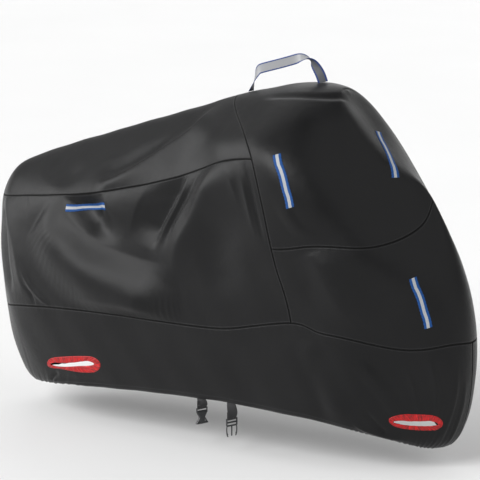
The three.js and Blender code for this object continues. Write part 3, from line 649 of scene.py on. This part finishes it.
class Field:
    """A number, colour or vector that changes over a surface, as a socket of its nodes."""

    def __init__(self, finish, socket):
        self.finish, self.socket = finish, socket

    def math(self, operation, *others):
        return self.finish.add("ShaderNodeMath", {"operation": operation}, self, *others)

    def __add__(self, other):
        return self.math("ADD", other)

    def __sub__(self, other):
        return self.math("SUBTRACT", other)

    def __mul__(self, other):
        return self.math("MULTIPLY", other)

    def __truediv__(self, other):
        return self.math("DIVIDE", other)

    def __rsub__(self, other):
        return self.finish.add("ShaderNodeMath", {"operation": "SUBTRACT"}, other, self)

    __radd__, __rmul__ = __add__, __mul__

    def least(self, other):
        return self.math("MINIMUM", other)

    def most(self, other):
        return self.math("MAXIMUM", other)

    def size(self):
        return self.math("ABSOLUTE")

    def wave(self, period):
        """A sine with this distance from crest to crest."""
        return (self * (2 * math.pi / period)).math("SINE")

    def ramp(self, low, high):
        """0 up to low, 1 from high on, and an even slope between them."""
        node = self.finish.node("ShaderNodeMapRange", {"clamp": True}, (self, low, high, 0.0, 1.0))
        return Field(self.finish, node.outputs[0])


class Finish:
    """A material's nodes."""

    def __init__(self, name, **constants):
        self.material = bpy.data.materials.new(name)
        self.material.use_nodes = True
        self.tree = self.material.node_tree
        self.shader = self.tree.nodes["Principled BSDF"]
        for label, value in constants.items():
            self.shader.inputs[label.replace("_", " ")].default_value = value

    def node(self, kind, settings, values):
        """A node of a kind with its settings made first, then its sockets' values or links.
        values are in order, or by name."""
        made = self.tree.nodes.new(kind)
        for label, value in settings.items():
            setattr(made, label, value)
        pairs = values.items() if isinstance(values, dict) else enumerate(values)
        for label, value in pairs:
            if isinstance(value, Field):
                self.tree.links.new(value.socket, made.inputs[label])
            else:
                made.inputs[label].default_value = value
        return made

    def add(self, kind, settings, *values):
        """The first output of a new node."""
        return Field(self, self.node(kind, settings, values).outputs[0])

    def place(self):
        """The place on the model, in metres."""
        return Field(self, self.node("ShaderNodeTexCoord", {}, ()).outputs["Object"])

    def cut(self):
        """The place on the flat cloth, in metres, as its two numbers."""
        source = self.add("ShaderNodeUVMap", {"uv_map": "cut"})
        parts = self.node("ShaderNodeSeparateXYZ", {}, (source,))
        return source, Field(self, parts.outputs[0]), Field(self, parts.outputs[1])

    def number(self, label):
        """A number that the mesh keeps at its vertices."""
        return Field(self, self.node("ShaderNodeAttribute", {"attribute_name": label}, ()).outputs["Fac"])

    def noise(self, where, scale, detail=3.0, roughness=0.5):
        """Smooth noise from 0 to 1 at a place."""
        values = {"Vector": where, "Scale": scale, "Detail": detail, "Roughness": roughness}
        return Field(self, self.node("ShaderNodeTexNoise", {}, values).outputs["Fac"])

    def stretched(self, where, scale, turn=(0.0, 0.0, 0.0)):
        """A place turned and then scaled along each axis."""
        values = {"Vector": where, "Rotation": turn, "Scale": scale}
        return Field(self, self.node("ShaderNodeMapping", {}, values).outputs[0])

    def mix(self, share, first, second):
        """A colour between two colours."""
        made = self.node("ShaderNodeMix", {"data_type": "RGBA"}, {0: share, 6: first, 7: second})
        return Field(self, made.outputs[2])

    def finish(self, colour=None, roughness=None, height=None, rise=0.001):
        """Links what changes over the surface. height times rise is the relief in metres."""
        links = {"Base Color": colour, "Roughness": roughness}
        if height is not None:
            bump = self.node("ShaderNodeBump", {}, {"Strength": 1.0, "Distance": rise, "Height": height})
            links["Normal"] = Field(self, bump.outputs[0])
        for label, value in links.items():
            if value is not None:
                self.tree.links.new(value.socket, self.shader.inputs[label])
        return self.material


def colour(red, green, blue):
    """An opaque colour in linear light."""
    return (red, green, blue, 1.0)


def dashes(along, across, middle, length, pitch, width):
    """Stitches: dashes along one direction where the other is at its middle line."""
    on_line = 1 - ((across - middle).size() / width).least(1.0)
    on_dash = 1 - (((along / pitch).math("FRACT") - 0.5).size() * (pitch / length) * 1.15).least(1.0)
    return on_line.ramp(0.0, 0.6) * on_dash.ramp(0.0, 0.35)


def coated_cloth():
    """Satin woven polyester, near black. Its relief is a plain weave, soft small creases
    and stitches 6 mm from each seam. Beside the seams its colour goes near black: painted seam shadow."""
    made = Finish("coated cloth", Sheen_Weight=0.05, Sheen_Roughness=0.45)
    made.shader.inputs["Specular IOR Level"].default_value = 0.2
    flat, along, down = made.cut()
    place = made.place()
    beside, at_ends, hem = made.number("beside"), made.number("at_ends"), made.number("above_hem")
    seam = beside.least(at_ends)
    weave = along.wave(0.0011) * down.wave(0.0011)
    fibre = made.noise(flat, 900.0, 2.0)
    creases = made.noise(place, 26.0, 4.0, 0.55)
    fine_creases = made.noise(made.stretched(place, (1.0, 1.0, 0.45), (0.0, 0.35, 0.0)), 90.0, 3.0, 0.6)
    stitch = (
        dashes(along, beside, 6.0, 0.0028, 0.0038, 0.7) + dashes(down, at_ends, 6.0, 0.0028, 0.0038, 0.7)
        + dashes(along, hem, 20.0, 0.0028, 0.0038, 0.7)
    )
    # within about 2 to 4 mm of a seam: painted seam shadow in the colour, and rougher cloth there
    dark = 1 - seam.ramp(1.9, 3.9)
    worn = made.noise(place, 7.0, 3.0).ramp(0.35, 0.75)
    base = made.mix(worn, colour(0.0036, 0.0037, 0.0040), colour(0.0050, 0.0051, 0.0054))
    base = made.mix(fibre.ramp(0.3, 0.8) * 0.35, base, colour(0.009, 0.009, 0.010))
    base = made.mix((stitch * 0.7).least(1.0), base, colour(0.035, 0.035, 0.037))
    # painted seam shadow: near black beside the seams
    base = made.mix(dark, base, colour(0.001, 0.001, 0.001))
    rough = 0.33 + worn * 0.06 + (fibre - 0.5) * 0.10 + dark * 0.6
    height = weave * 0.05 + creases * 1.1 + fine_creases * 0.28 + stitch * 0.35
    return made.finish(base, rough, height, 0.0009)


def lining():
    """The dull rubbery coating inside the cloth."""
    made = Finish("lining")
    made.shader.inputs["Specular IOR Level"].default_value = 0.3
    _, along, down = made.cut()
    weave = along.wave(0.0011) * down.wave(0.0011)
    cloudy = made.noise(made.place(), 12.0, 4.0)
    base = made.mix(cloudy, colour(0.010, 0.010, 0.011), colour(0.020, 0.020, 0.021))
    return made.finish(base, 0.62 + cloudy * 0.15, weave * 0.05 + cloudy * 0.8, 0.0008)


def red_tape():
    """Glossy red binding: gathers square to its edge, and a stitch line near its outer edge.
    Its red is darker in the gathers' hollows and brighter on their crests: painted shade and highlight.
    """
    made = Finish("red tape", Coat_Weight=0.25, Coat_Roughness=0.2)
    made.shader.inputs["Specular IOR Level"].default_value = 0.3
    flat, along, across = made.cut()
    gathers = made.noise(made.stretched(flat, (1.0, 0.22, 1.0)), 170.0, 3.0, 0.55)
    weave = (along + across).wave(0.0012) * (along - across).wave(0.0012)
    stitch = dashes(along, across * 1000, 4.5, 0.0030, 0.0042, 0.8)
    # painted shade and highlight: darker red in the gathers' hollows, brighter red on their crests
    base = made.mix(gathers.ramp(0.35, 0.65), colour(0.15, 0.001, 0.002), colour(0.56, 0.002, 0.004))
    base = made.mix(stitch * 0.6, base, colour(0.10, 0.001, 0.002))
    rough = 0.30 + gathers * 0.16
    return made.finish(base, rough, gathers * 1.6 + weave * 0.03 - stitch * 0.25, 0.0014)


def striped_ribbon():
    """Reflective ribbon: a light grey middle that wavers between royal blue borders, with
    dark tacks along the edges."""
    made = Finish("striped ribbon")
    made.shader.inputs["Specular IOR Level"].default_value = 0.3
    flat, along, across = made.cut()
    waver = (made.noise(made.stretched(flat, (1.0, 0.02, 1.0)), 40.0, 2.0) - 0.5) * 0.0045
    off = (across + waver).size()
    edge = across.size()
    rib = along.wave(0.0016)
    glass = made.noise(flat, 1400.0, 2.0)
    base = made.mix(glass, colour(0.30, 0.31, 0.325), colour(0.38, 0.39, 0.405))
    blue = made.mix(glass, colour(0.001, 0.044, 0.17), colour(0.001, 0.060, 0.24))
    base = made.mix(off.ramp(0.0054, 0.0060), base, blue)
    tacks = dashes(along, edge * 1000, 15.2, 0.0045, 0.0130, 1.6)
    base = made.mix(edge.ramp(0.0148, 0.0156).most(tacks), base, colour(0.003, 0.010, 0.05))
    rough = 0.40 + off.ramp(0.005, 0.007) * 0.22
    return made.finish(base, rough, rib * 0.25 * off.ramp(0.005, 0.0065) + glass * 0.2 - tacks * 0.5, 0.0004)


def handle_ribbon():
    """The carry handle's ribbon: silvery outside between thin royal blue edges, and dull
    dark grey inside with broad blue edges."""
    made = Finish("handle ribbon")
    flat, along, across = made.cut()
    inner = made.number("inner")
    off = across.size()
    rib = along.wave(0.0021)
    bead = made.noise(flat, 1100.0, 2.0)
    outside = made.mix(bead, colour(0.22, 0.225, 0.235), colour(0.29, 0.295, 0.305))
    inside_face = made.mix(bead, colour(0.045, 0.048, 0.056), colour(0.07, 0.074, 0.082))
    outside = made.mix(off.ramp(0.0140, 0.0146), outside, colour(0.010, 0.012, 0.03))
    outside = made.mix(off.ramp(0.0143, 0.0149), outside, colour(0.002, 0.030, 0.16))
    inside_face = made.mix(off.ramp(0.0118, 0.0124), inside_face, colour(0.002, 0.022, 0.13))
    base = made.mix(inner, outside, inside_face)
    edge = off.ramp(0.0150, 0.0158)
    rough = 0.34 + edge * 0.24 + inner * 0.15
    stitch = dashes(along, off, 0.0132, 0.003, 0.0042, 0.0006)
    height = rib * 0.3 * edge.most(inner * 0.6) + bead * 0.3 + stitch * 0.5
    return made.finish(base, rough, height, 0.0005)


def black_webbing():
    """Black woven webbing: broken chevrons along its length between plain edges."""
    made = Finish("black webbing", Sheen_Weight=0.15, Sheen_Roughness=0.5)
    flat, along, across = made.cut()
    chevron = ((across.size() * 0.9 + along).wave(0.0026) * 0.5 + 0.5) * (across.wave(0.0018) * 0.35 + 0.65)
    fuzz = made.noise(flat, 1500.0, 2.0)
    base = made.mix(chevron, colour(0.006, 0.006, 0.007), colour(0.020, 0.020, 0.022))
    return made.finish(base, 0.62 + fuzz * 0.2, chevron + fuzz * 0.25, 0.0007)


def moulded_plastic():
    """Dark moulded plastic with a fine grain, a little paler where edges are rubbed."""
    made = Finish("moulded plastic")
    place = made.place()
    grain = made.noise(place, 1600.0, 2.0)
    scuff = made.noise(place, 140.0, 4.0, 0.65).ramp(0.55, 0.75)
    base = made.mix(scuff, colour(0.020, 0.021, 0.023), colour(0.034, 0.035, 0.038))
    return made.finish(base, 0.36 + scuff * 0.14 + (grain - 0.5) * 0.1, grain * 0.5 + scuff * 0.2, 0.0002)


def studio_floor():
    """A matt white light table with the slightest unevenness."""
    made = Finish("studio floor", Emission_Color=colour(1.0, 1.0, 1.0), Emission_Strength=0.10)
    cloudy = made.noise(made.place(), 0.8, 3.0)
    base = made.mix(cloudy, colour(0.66, 0.66, 0.66), colour(0.69, 0.69, 0.69))
    return made.finish(base, 0.75 + cloudy * 0.1)


COATED_CLOTH, LINING, RED_TAPE, STRIPED_RIBBON = coated_cloth(), lining(), red_tape(), striped_ribbon()
HANDLE_RIBBON, BLACK_WEBBING, MOULDED_PLASTIC = handle_ribbon(), black_webbing(), moulded_plastic()


# Trimmings


def frame_at(first, last, left=False):
    """A flat frame at the middle of two (rib, line) points of the right-hand side, or at
    their mirror images: the middle, the way along, across and out of the cloth."""
    first, last = np.array(first), np.array(last)
    u, v = (first + last)[:, None] / 2
    middle, out = form(u, v)[0], outward(u, v)[0]
    along = (form(*last[:, None]) - form(*first[:, None]))[0]
    along = unit(along - along @ out * out)
    across = np.cross(out, along)
    turn = MIRROR if left else 1
    start = (ROUND - u[0] if left else u[0], v[0])
    return {
        "middle": middle * turn, "along": along * turn, "across": across * turn, "out": out * turn,
        "start": start,
    }


def settle(place, a, b):
    """Rib and line numbers of the cloth straight behind points of a flat frame, by Newton's
    steps on the two distances in its plane."""
    u, v = np.full(a.shape, place["start"][0]), np.full(a.shape, place["start"][1])
    plane = np.stack([place["along"], place["across"]], 1)
    for _ in range(14):
        miss = (form(u, v) - place["middle"]) @ plane - np.stack([a, b], 1)
        by_u = (form(u + STEP, v) - form(u - STEP, v)) @ plane / (2 * STEP)
        by_v = (form(u, v + STEP) - form(u, v - STEP)) @ plane / (2 * STEP)
        area = by_u[:, 0] * by_v[:, 1] - by_u[:, 1] * by_v[:, 0]
        u = u - np.clip((miss[:, 0] * by_v[:, 1] - miss[:, 1] * by_v[:, 0]) / area, -0.4, 0.4)
        v = v - np.clip((miss[:, 1] * by_u[:, 0] - miss[:, 0] * by_u[:, 1]) / area, -0.4, 0.4)
    return u, v


def slot_place(slot):
    """The flat frame of a slot, given as its name and whether it is on the left."""
    name, left = slot
    return frame_at(*SLOTS[name][:2], left)


def slot_outlines(slot):
    """The slot's opening and the tape's outer edge as closed splines in the slot's plane."""
    table = np.array(SLOTS[slot[0]][2], float)
    t = np.linspace(0, len(table), AROUND_SLOT, endpoint=False)
    both = spline_weights(t, len(table), True) @ table
    return both[:, :2], both[:, 2:]


def slot_tape(slot):
    """Binding round a slot: a closed section carried round the opening. It runs from the
    tape's outer edge over the cloth to a rolled lip at the opening and back inside, on
    rows between the two outlines, lifted off the cloth by its thickness and its gathers."""
    place = slot_place(slot)
    opening, edge = slot_outlines(slot)
    way = np.concatenate([[0], np.cumsum(np.linalg.norm(np.diff(edge, axis=0), axis=1))])
    lap, top = CLOTH + 0.3, 1.7
    section = np.array([
        (1.00, 0.1), (0.985, 0.9), (0.94, top - 0.3), (0.85, top), (0.72, top - 0.5),
        (0.58, top - 0.2),
        (0.42, top), (0.27, top), (0.13, top + 0.5), (0.04, top + 0.3), (-0.03, 0.7), (-0.05, -0.7),
        (-0.02, -lap - 0.6), (0.10, -lap - 1.3), (0.35, -lap - 1.1), (0.65, -lap - 1.0),
        (0.90, -lap - 1.0), (0.99, -lap - 0.6), (1.00, -lap + 0.2),
    ])
    share, height = section.T
    target = opening[:, None] + (edge - opening)[:, None] * share[:, None]
    u, v = settle(place, target[..., 0].ravel(), target[..., 1].ravel())
    wide = np.linalg.norm(edge - opening, axis=1)[:, None]
    place_round = way[:, None]
    gather = np.sin(place_round / 3.1 + 2.2 * np.sin(place_round / 17) + share * 1.6)
    gather = gather + 0.6 * np.sin(place_round / 7.7 + 1.0 - share * 2.0)
    face = np.clip(np.sin(np.pi * np.clip(share, 0, 1)) * 1.4, 0, 1) * np.where(height > 0, 1, -0.6)
    lift = height + face * gather * 0.75 * np.clip(wide / 14, 0.4, 1)
    tips = 0.8 * np.sin(place_round / 9.0) * np.where(height > 0, 1.0, 0.0) * np.clip(1 - share, 0, 1)
    points = cloth(u, v) + cloth_normal(u, v) * (lift + tips).ravel()[:, None]
    faces = grid_faces(AROUND_SLOT, len(section), True, True)
    if not slot[1]:
        faces = faces[:, ::-1]
    across = np.where(height > 0, 1 - share, 1 + share) * wide
    name = "lock_slot_binding_%s_%s" % (slot[0], "left" if slot[1] else "right")
    cut = np.stack([np.broadcast_to(place_round, across.shape), across], -1) / 1000
    return make_piece("tape_" + name, points, faces, RED_TAPE, "binding", name, cut=cut)


def sewn_strip(name, first, last, left=False):
    """A reflective strip: a grid in a flat frame set on the cloth, a little above it and
    bowed a little, with its edges sewn down and faintly puckered."""
    place = frame_at(first, last, left)
    length = np.linalg.norm(form(*np.array(last)[:, None]) - form(*np.array(first)[:, None]))
    a = np.linspace(-length / 2, length / 2, STRIP_ROWS)
    b = np.linspace(-STRIP_WIDTH / 2, STRIP_WIDTH / 2, STRIP_COLUMNS)
    aa, bb = np.meshgrid(a, b, indexing="ij")
    bow = 2.4 * np.sin(aa * 6.2 / length + 0.9) - 1.2 * np.sin(aa * 12.4 / length)
    u, v = settle(place, aa.ravel(), (bb + bow).ravel())
    rim = np.maximum(np.abs(bb) / b[-1], (np.abs(aa) - a[-1] + 6) / 6)
    lift = 1.2 - 0.5 * np.clip(rim, 0, 1) ** 6 + 0.3 * np.sin(aa / 4.2 + np.sign(bb)) * (bb / b[-1]) ** 2
    points = cloth(u, v) + cloth_normal(u, v) * lift.ravel()[:, None]
    faces = grid_faces(STRIP_ROWS, STRIP_COLUMNS)
    if not left:
        faces = faces[:, ::-1]
    cut = np.stack([aa, bb], -1) / 1000
    piece = make_piece("ribbon_" + name, points, faces, STRIPED_RIBBON, "reflective", name, cut=cut)
    thicken(piece, 0.7)


def ribbon(name, path, wide, thick, finish, slot, replaced):
    """A flat ribbon carried along a path: its section is a flat loop with rounded edges,
    square to the path, whose width follows the given directions."""
    tangent = unit(np.gradient(path, axis=0))
    wide = unit(wide - (wide * tangent).sum(1, keepdims=True) * tangent)
    face = np.cross(tangent, wide)
    half_side = np.array([0.15, 0.3, 0.38, 0.42, 0.475, 0.5])
    flat_side = np.concatenate([-half_side[::-1], [0], half_side])
    across = np.concatenate([flat_side, flat_side[-2:0:-1]])
    ribs = np.array([0, 0.36, 0.5, 0.46, 0.44, 0.44, 0.44, 0.44, 0.44, 0.46, 0.5, 0.36, 0])
    high = np.concatenate([ribs, -ribs[-2:0:-1]])
    section = WEBBING * across[:, None] * wide[:, None], thick * high[:, None] * face[:, None]
    points = path[:, None] + section[0] + section[1]
    run = np.concatenate([[0], np.cumsum(np.linalg.norm(np.diff(path, axis=0), axis=1))])
    inner = np.broadcast_to((high < 0).astype(float), points.shape[:2])
    cut = np.stack(np.broadcast_arrays(run[:, None], WEBBING * across), -1)
    points, faces, caps = closed_tube(points)
    more = {"cut": cut / 1000, "attributes": {"inner": inner}, "caps": caps}
    return make_piece(name, points, faces, finish, slot, replaced, **more)


def carry_handle():
    """The handle's ribbon on its table: a smooth path through the rows, with the width
    turned from straight across by the roll."""
    table = smooth_rows(HANDLE, 121)
    path = np.stack([table[:, 0], 0 * table[:, 0], table[:, 1]], 1)
    tangent = unit(np.gradient(path, axis=0))
    roll = np.radians(table[:, 2])[:, None]
    square = np.cross(np.array([0.0, 1.0, 0.0]), tangent) * -1
    wide = np.cos(roll) * np.array([0.0, 1.0, 0.0]) + np.sin(roll) * square
    name = "carry_handle"
    ribbon("ribbon_" + name, path, wide, 2.4, HANDLE_RIBBON, "handle_webbing", name)


# Belly straps and their buckle


def strap_frame(rib, drop, turn):
    """Where a strap's buckle bar lies: its middle, the way across and the way out."""
    angle = math.radians(turn)
    bar = form(np.array([rib]), np.array([float(HEM)]))[0] + np.array([0, 8.4, -drop])
    wide = np.array([math.cos(angle), math.sin(angle), 0])
    return bar, wide, np.array([math.sin(angle), -math.cos(angle), 0])


def belly_strap(kind):
    """A strap: sewn flat behind the hem, it hangs from there, turns to its buckle's bar,
    passes round it and ends behind itself. Rows of places and widths, joined smoothly."""
    rib, drop, turn = STRAPS[kind]
    bar, wide, out = strap_frame(rib, drop, turn)
    u, v = np.full(3, rib), np.array([7.3, 7.85, HEM])
    behind = form(u, v) - outward(u, v) * (CLOTH + 2.2)
    behind[2, 2] -= 2
    along = unit(form(u[:1] + 0.1, v[2:]) - form(u[:1] - 0.1, v[2:]))[0]
    reach = 3.9
    loop = np.array([
        (reach, 6), (reach, 0), (reach * 0.7, -reach * 0.7), (0, -reach), (-reach * 0.7, -reach * 0.7),
        (-reach, 0), (-reach - 0.5, 13), (-reach - 1, 26),
    ])
    turned = bar + out * loop[:, :1] + np.array([0, 0, 1]) * loop[:, 1:]
    halfway = bar + out * reach + np.array([0, 0, drop * 0.45])
    places = np.concatenate([behind, halfway[None], turned])
    widths = np.concatenate([np.tile(along, (3, 1)), unit(along + wide)[None], np.tile(wide, (8, 1))])
    rows = smooth_rows(np.concatenate([places, widths], 1), 120)
    name = "belly_strap_" + kind
    ribbon("webbing_" + name, rows[:, :3], rows[:, 3:], 2.0, BLACK_WEBBING, "webbing", name)


def bar_along(path, breadth, depth, corner=0.35, count=16):
    """A closed bar with a rounded oblong section carried along points (x, y, z) of a
    buckle half, its breadth in the plane of the buckle: points and faces with end caps."""
    path = np.array(path, float)
    steps = max(2 * len(path), 12)
    if len(path) == 2:
        path = np.vstack([path[0], path.mean(0), path[1]])
    path = smooth_rows(path, steps)
    tangent = unit(np.gradient(path, axis=0))
    side = unit(np.cross(tangent, np.array([0.0, 0.0, 1.0])))
    top = np.cross(side, tangent)
    angle = np.linspace(0, 2 * np.pi, count, endpoint=False)
    power = 2 * corner
    x = np.sign(np.cos(angle)) * np.abs(np.cos(angle)) ** power * breadth / 2
    y = np.sign(np.sin(angle)) * np.abs(np.sin(angle)) ** power * depth / 2
    taper = np.ones(steps)
    taper[[0, -1]] = 0.72
    section = x[:, None] * side[:, None] + y[:, None] * top[:, None]
    points = path[:, None] + taper[:, None, None] * section
    return closed_tube(points)


def shell_between(rows, depth, wall):
    """A buckle's hollow shell: for each row (y, half width), a flat rounded tube section;
    the outer skin runs down the rows and the inner one back up, open at the mouth."""
    y, half_width = np.array(rows, float).T
    angle = np.linspace(0, 2 * np.pi, SHELL_SIDES, endpoint=False)
    cos, sin = np.cos(angle), np.sin(angle)
    flat_x, flat_z = np.sign(cos) * np.abs(cos) ** 0.45, np.sign(sin) * np.abs(sin) ** 0.42
    rings = []
    for grow, order in ((0.0, 1), (-wall, -1)):
        for place, reach in list(zip(y, half_width))[::order]:
            x = flat_x * (reach + grow)
            z = flat_z * (depth / 2 + grow)
            crown = 1 - 0.10 * (np.abs(x) / (reach + 1e-6)) ** 2
            rings.append(np.stack([x, np.full(SHELL_SIDES, place), z * crown], 1))
    points = np.array(rings)
    return closed_tube(points)


def joined(parts):
    """Several closed bodies as one list of points, faces and caps."""
    points, faces, caps, start = [], [], [], 0
    for part_points, part_faces, part_caps in parts:
        points.append(part_points)
        faces.append(part_faces + start)
        caps += [tuple(n + start for n in cap) for cap in part_caps]
        start += len(part_points)
    return np.concatenate(points), np.concatenate(faces), caps


def mirrored_bar(path, breadth, depth):
    """A bar and its mirror image across the buckle's middle line."""
    path = np.array(path, float)
    return [bar_along(path * (side, 1, 1), breadth, depth) for side in (1, -1)]


def buckle(kind, parts):
    """Sets a buckle half's bodies, drawn with x across, y down and z out, on its strap."""
    bar, _, out = strap_frame(*STRAPS[kind])
    points, faces, caps = joined(parts)
    down = np.array([0.0, 0.0, -1.0])
    turn = np.stack([np.cross(down, out), down, out])
    name = "buckle_" + kind
    points = points @ turn + bar
    piece = make_piece("moulded_" + name, points, faces, MOULDED_PLASTIC, "buckle", name, caps=caps)
    bevel = piece.modifiers.new("soft edges", "BEVEL")
    bevel.width, bevel.segments, bevel.limit_method = 0.0003, 2, "ANGLE"
    bevel.angle_limit = math.radians(50)


def socket_half():
    """The socket: the bar in its frame, then an hourglass of two rails that close into a
    hollow shell at the base, with a raised rib on each face and windows at both sides."""
    h = BUCKLE_HALF
    parts = [bar_along([(-h + 1, 0, 0), (h - 1, 0, 0)], 4.2, 4.2, 0.5)]
    parts += mirrored_bar([(h - 2, -1, 0), (h - 2, 6, 0), (h - 2, 13, 0)], 4.0, 6.5)
    waist = [
        (12, h - 0.6), (14, h - 0.2), (18, h - 1.2), (24, h - 4.6), (31, h - 9.2), (37, h - 12.2),
        (42, h - 12.8), (46, h - 13.2), (58, h - 13.0), (60.5, h - 13.2),
    ]
    parts += [shell_between(waist, 11.6, 1.7)]
    rail = [(h - 13.5, 38, 0), (h - 10, 45, 0), (h - 5.5, 52, 0), (h - 0.5, 59, 0), (h - 1.5, 61.5, 0)]
    parts += mirrored_bar(rail, 3.2, 11.0)
    parts += [shell_between([(55.5, h - 2.5), (58, h - 0.5), (61.6, h - 1.4)], 11.4, 1.7)]
    parts += [bar_along([(-9, 30, 5.9), (0, 28.5, 6.0), (9, 30, 5.9)], 1.6, 1.0)]
    parts += [bar_along([(-8, 34, 5.9), (0, 32.5, 6.0), (8, 34, 5.9)], 1.6, 1.0)]
    parts += [bar_along([(-h + 3, 17, 5.4), (0, 16.5, 5.7), (h - 3, 17, 5.4)], 2.0, 1.2)]
    buckle("socket", parts)


def prong_half():
    """The prong: a ladder of bars in a frame, two hooked arms and a straight guide."""
    h = BUCKLE_HALF
    parts = [bar_along([(-h + 1, 0, 0), (h - 1, 0, 0)], 4.2, 4.2, 0.5)]
    parts += mirrored_bar([(h - 2, -2, 0), (h - 2, 12, 0), (h - 2, 27, 0)], 4.0, 8.0)
    parts += [bar_along([(-h + 2, 13.5, 0), (0, 13.5, 0.3), (h - 2, 13.5, 0)], 5.6, 8.4)]
    parts += [bar_along([(-h + 2, 26.5, 0), (0, 26.5, 0.3), (h - 2, 26.5, 0)], 5.4, 8.4)]
    arm = [
        (h - 3, 27, 0), (h - 1.8, 38, 0), (h - 2.2, 50, 0), (h - 3.6, 59, 0), (h - 5.6, 65.5, 0),
        (h - 7.6, 68.5, 0),
    ]
    parts += mirrored_bar(arm, 3.6, 5.4)
    parts += mirrored_bar([(h - 2.6, 52, 0), (h - 4.8, 57, 0), (h - 7.4, 61, 0)], 2.4, 4.6)
    parts += [bar_along([(0, 27, 0), (0, 46, 0), (0, 67, 0)], 5.0, 4.0)]
    buckle("prong", parts)


# The cover

RIGHT_SLOTS, LEFT_SLOTS = [("rear", False), ("front", False)], [("rear", True), ("front", True)]
BACK = ROUND - FRONT
SIDES = ["side_panel_right", "side_panel_left"]
# Columns: name, ribs, lines, cell size, sewn edges, zipped end, slots; then the width, length
# and area of the flat piece of cloth in metres, and what it is sewn to.
PANELS = (
    ("rear_top_panel", (0, FRONT), (-UPPER, UPPER), FINE, ("end", "top", "bottom"), "start", (),
     (1.08, 1.59, 0.94), [*SIDES, "front_upper_panel"]),
    ("front_upper_panel", (FRONT, NOSE), (-CROSS, CROSS), FINE, ("start", "top", "bottom"), "end", (),
     (1.05, 1.77, 0.89), [*SIDES, "rear_top_panel", "front_lower_panel"]),
    ("front_lower_panel", (FRONT, BACK), (CROSS, BELT), FINE, ALL, None, (),
     (0.55, 1.47, 0.55), [*SIDES, "front_upper_panel", "skirt_right", "skirt_left"]),
    ("side_panel_right", (0, FRONT), (UPPER, BELT), FINE, ALL, None, (),
     (0.63, 1.71, 0.87), ["rear_top_panel", "front_upper_panel", "front_lower_panel", "skirt_right"]),
    ("side_panel_left", (BACK, ROUND), (UPPER, BELT), PLAIN, ALL, None, (),
     (0.63, 1.71, 0.87), ["rear_top_panel", "front_upper_panel", "front_lower_panel", "skirt_left"]),
    ("skirt_right", (0, NOSE), (BELT, HEM), FINE, ("start", "end", "top"), None, RIGHT_SLOTS,
     (0.45, 2.43, 0.80), ["side_panel_right", "front_lower_panel", "skirt_left"]),
    ("skirt_left", (NOSE, ROUND), (BELT, HEM), PLAIN, ("start", "end", "top"), None, LEFT_SLOTS,
     (0.45, 2.43, 0.80), ["side_panel_left", "front_lower_panel", "skirt_right"]),
)
for *made, (width, length, flat_area), sewn_to in PANELS:
    panel(*made)
    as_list(sewn_to)

for slot in RIGHT_SLOTS + LEFT_SLOTS:
    slot_tape(slot)
for strip, (first, last) in STRIPS.items():
    sewn_strip("reflective_strip_%s_right" % strip, first, last)
    sewn_strip("reflective_strip_%s_left" % strip, first, last, left=True)
sewn_strip("reflective_strip_front", *CENTRE_STRIP)
carry_handle()
belly_strap("socket")
belly_strap("prong")
socket_half()
prong_half()

# Stage: a pale floor and six soft far lights, four of them from the camera's left, a weak one
# from its right and one from behind the cover

AZIMUTH, ELEVATION = math.radians(33.05), math.radians(11.57)


def stand(thing, place, back, right):
    """Sets a camera or a light at a place, looking against back, with right to its right."""
    back, right = unit(np.array(back, float)), unit(np.array(right, float))
    axes = np.stack([right, np.cross(back, right), back], 1)
    world = np.eye(4)
    world[:3, :3], world[:3, 3] = axes, place
    thing.matrix_world = Matrix(world.tolist())
    bpy.context.collection.objects.link(thing)


floor_mesh = bpy.data.meshes.new("floor")
level, reach = -CROWN[2] / 1000 - 0.001, 40.0  # height of the floor and half its width
corners = [(x * reach, y * reach, level) for x, y in ((-1, -1), (1, -1), (1, 1), (-1, 1))]
floor_mesh.from_pydata(corners, [], [(0, 1, 2, 3)])
floor = bpy.data.objects.new("floor", floor_mesh)
bpy.context.collection.objects.link(floor)
floor_mesh.materials.append(studio_floor())
floor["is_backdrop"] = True

back = np.array([
    math.sin(AZIMUTH) * math.cos(ELEVATION), -math.cos(AZIMUTH) * math.cos(ELEVATION), math.sin(ELEVATION)])
right = np.array([math.cos(AZIMUTH), math.sin(AZIMUTH), 0.0])
lens = bpy.data.cameras.new("camera")
lens.lens, lens.sensor_width, lens.clip_end = 185.6, 36.0, 200.0
camera = bpy.data.objects.new("camera", lens)
stand(camera, np.array([5.16723, -7.84966, 2.67954]) - CROWN / 1000, back, right)
bpy.context.scene.camera = camera


def distant_light(name, turn, height, disc, strength):
    """A far, soft light: degrees to the left of the camera, above the floor, and across."""
    turn, height = AZIMUTH - math.radians(turn), math.radians(height)
    lamp = bpy.data.lights.new(name, "SUN")
    lamp.energy, lamp.angle = strength, math.radians(disc)
    away = (math.sin(turn) * math.cos(height), -math.cos(turn) * math.cos(height), math.sin(height))
    place = np.array(away) * 4
    stand(bpy.data.objects.new(name, lamp), place, away, np.cross([0.0, 0.0, 1.0], away))


distant_light("key", 42, 35, 34, 2.6)
distant_light("side", 80, 22, 40, 1.0)
distant_light("far side", 104, 20, 40, 1.1)
distant_light("roof", 124, 56, 50, 0.4)
distant_light("fill", -52, 34, 70, 0.8)
distant_light("back", 200, 35, 60, 0.9)

world = bpy.data.worlds.new("studio")
world.use_nodes = True
world.node_tree.nodes["Background"].inputs["Color"].default_value = (1.0, 1.0, 1.0, 1.0)
world.node_tree.nodes["Background"].inputs["Strength"].default_value = 0.16
bpy.context.scene.world = world
bpy.context.scene.view_settings.view_transform = "Standard"

[[list(corner) for corner in box] for box in (cad_bounds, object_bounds())]
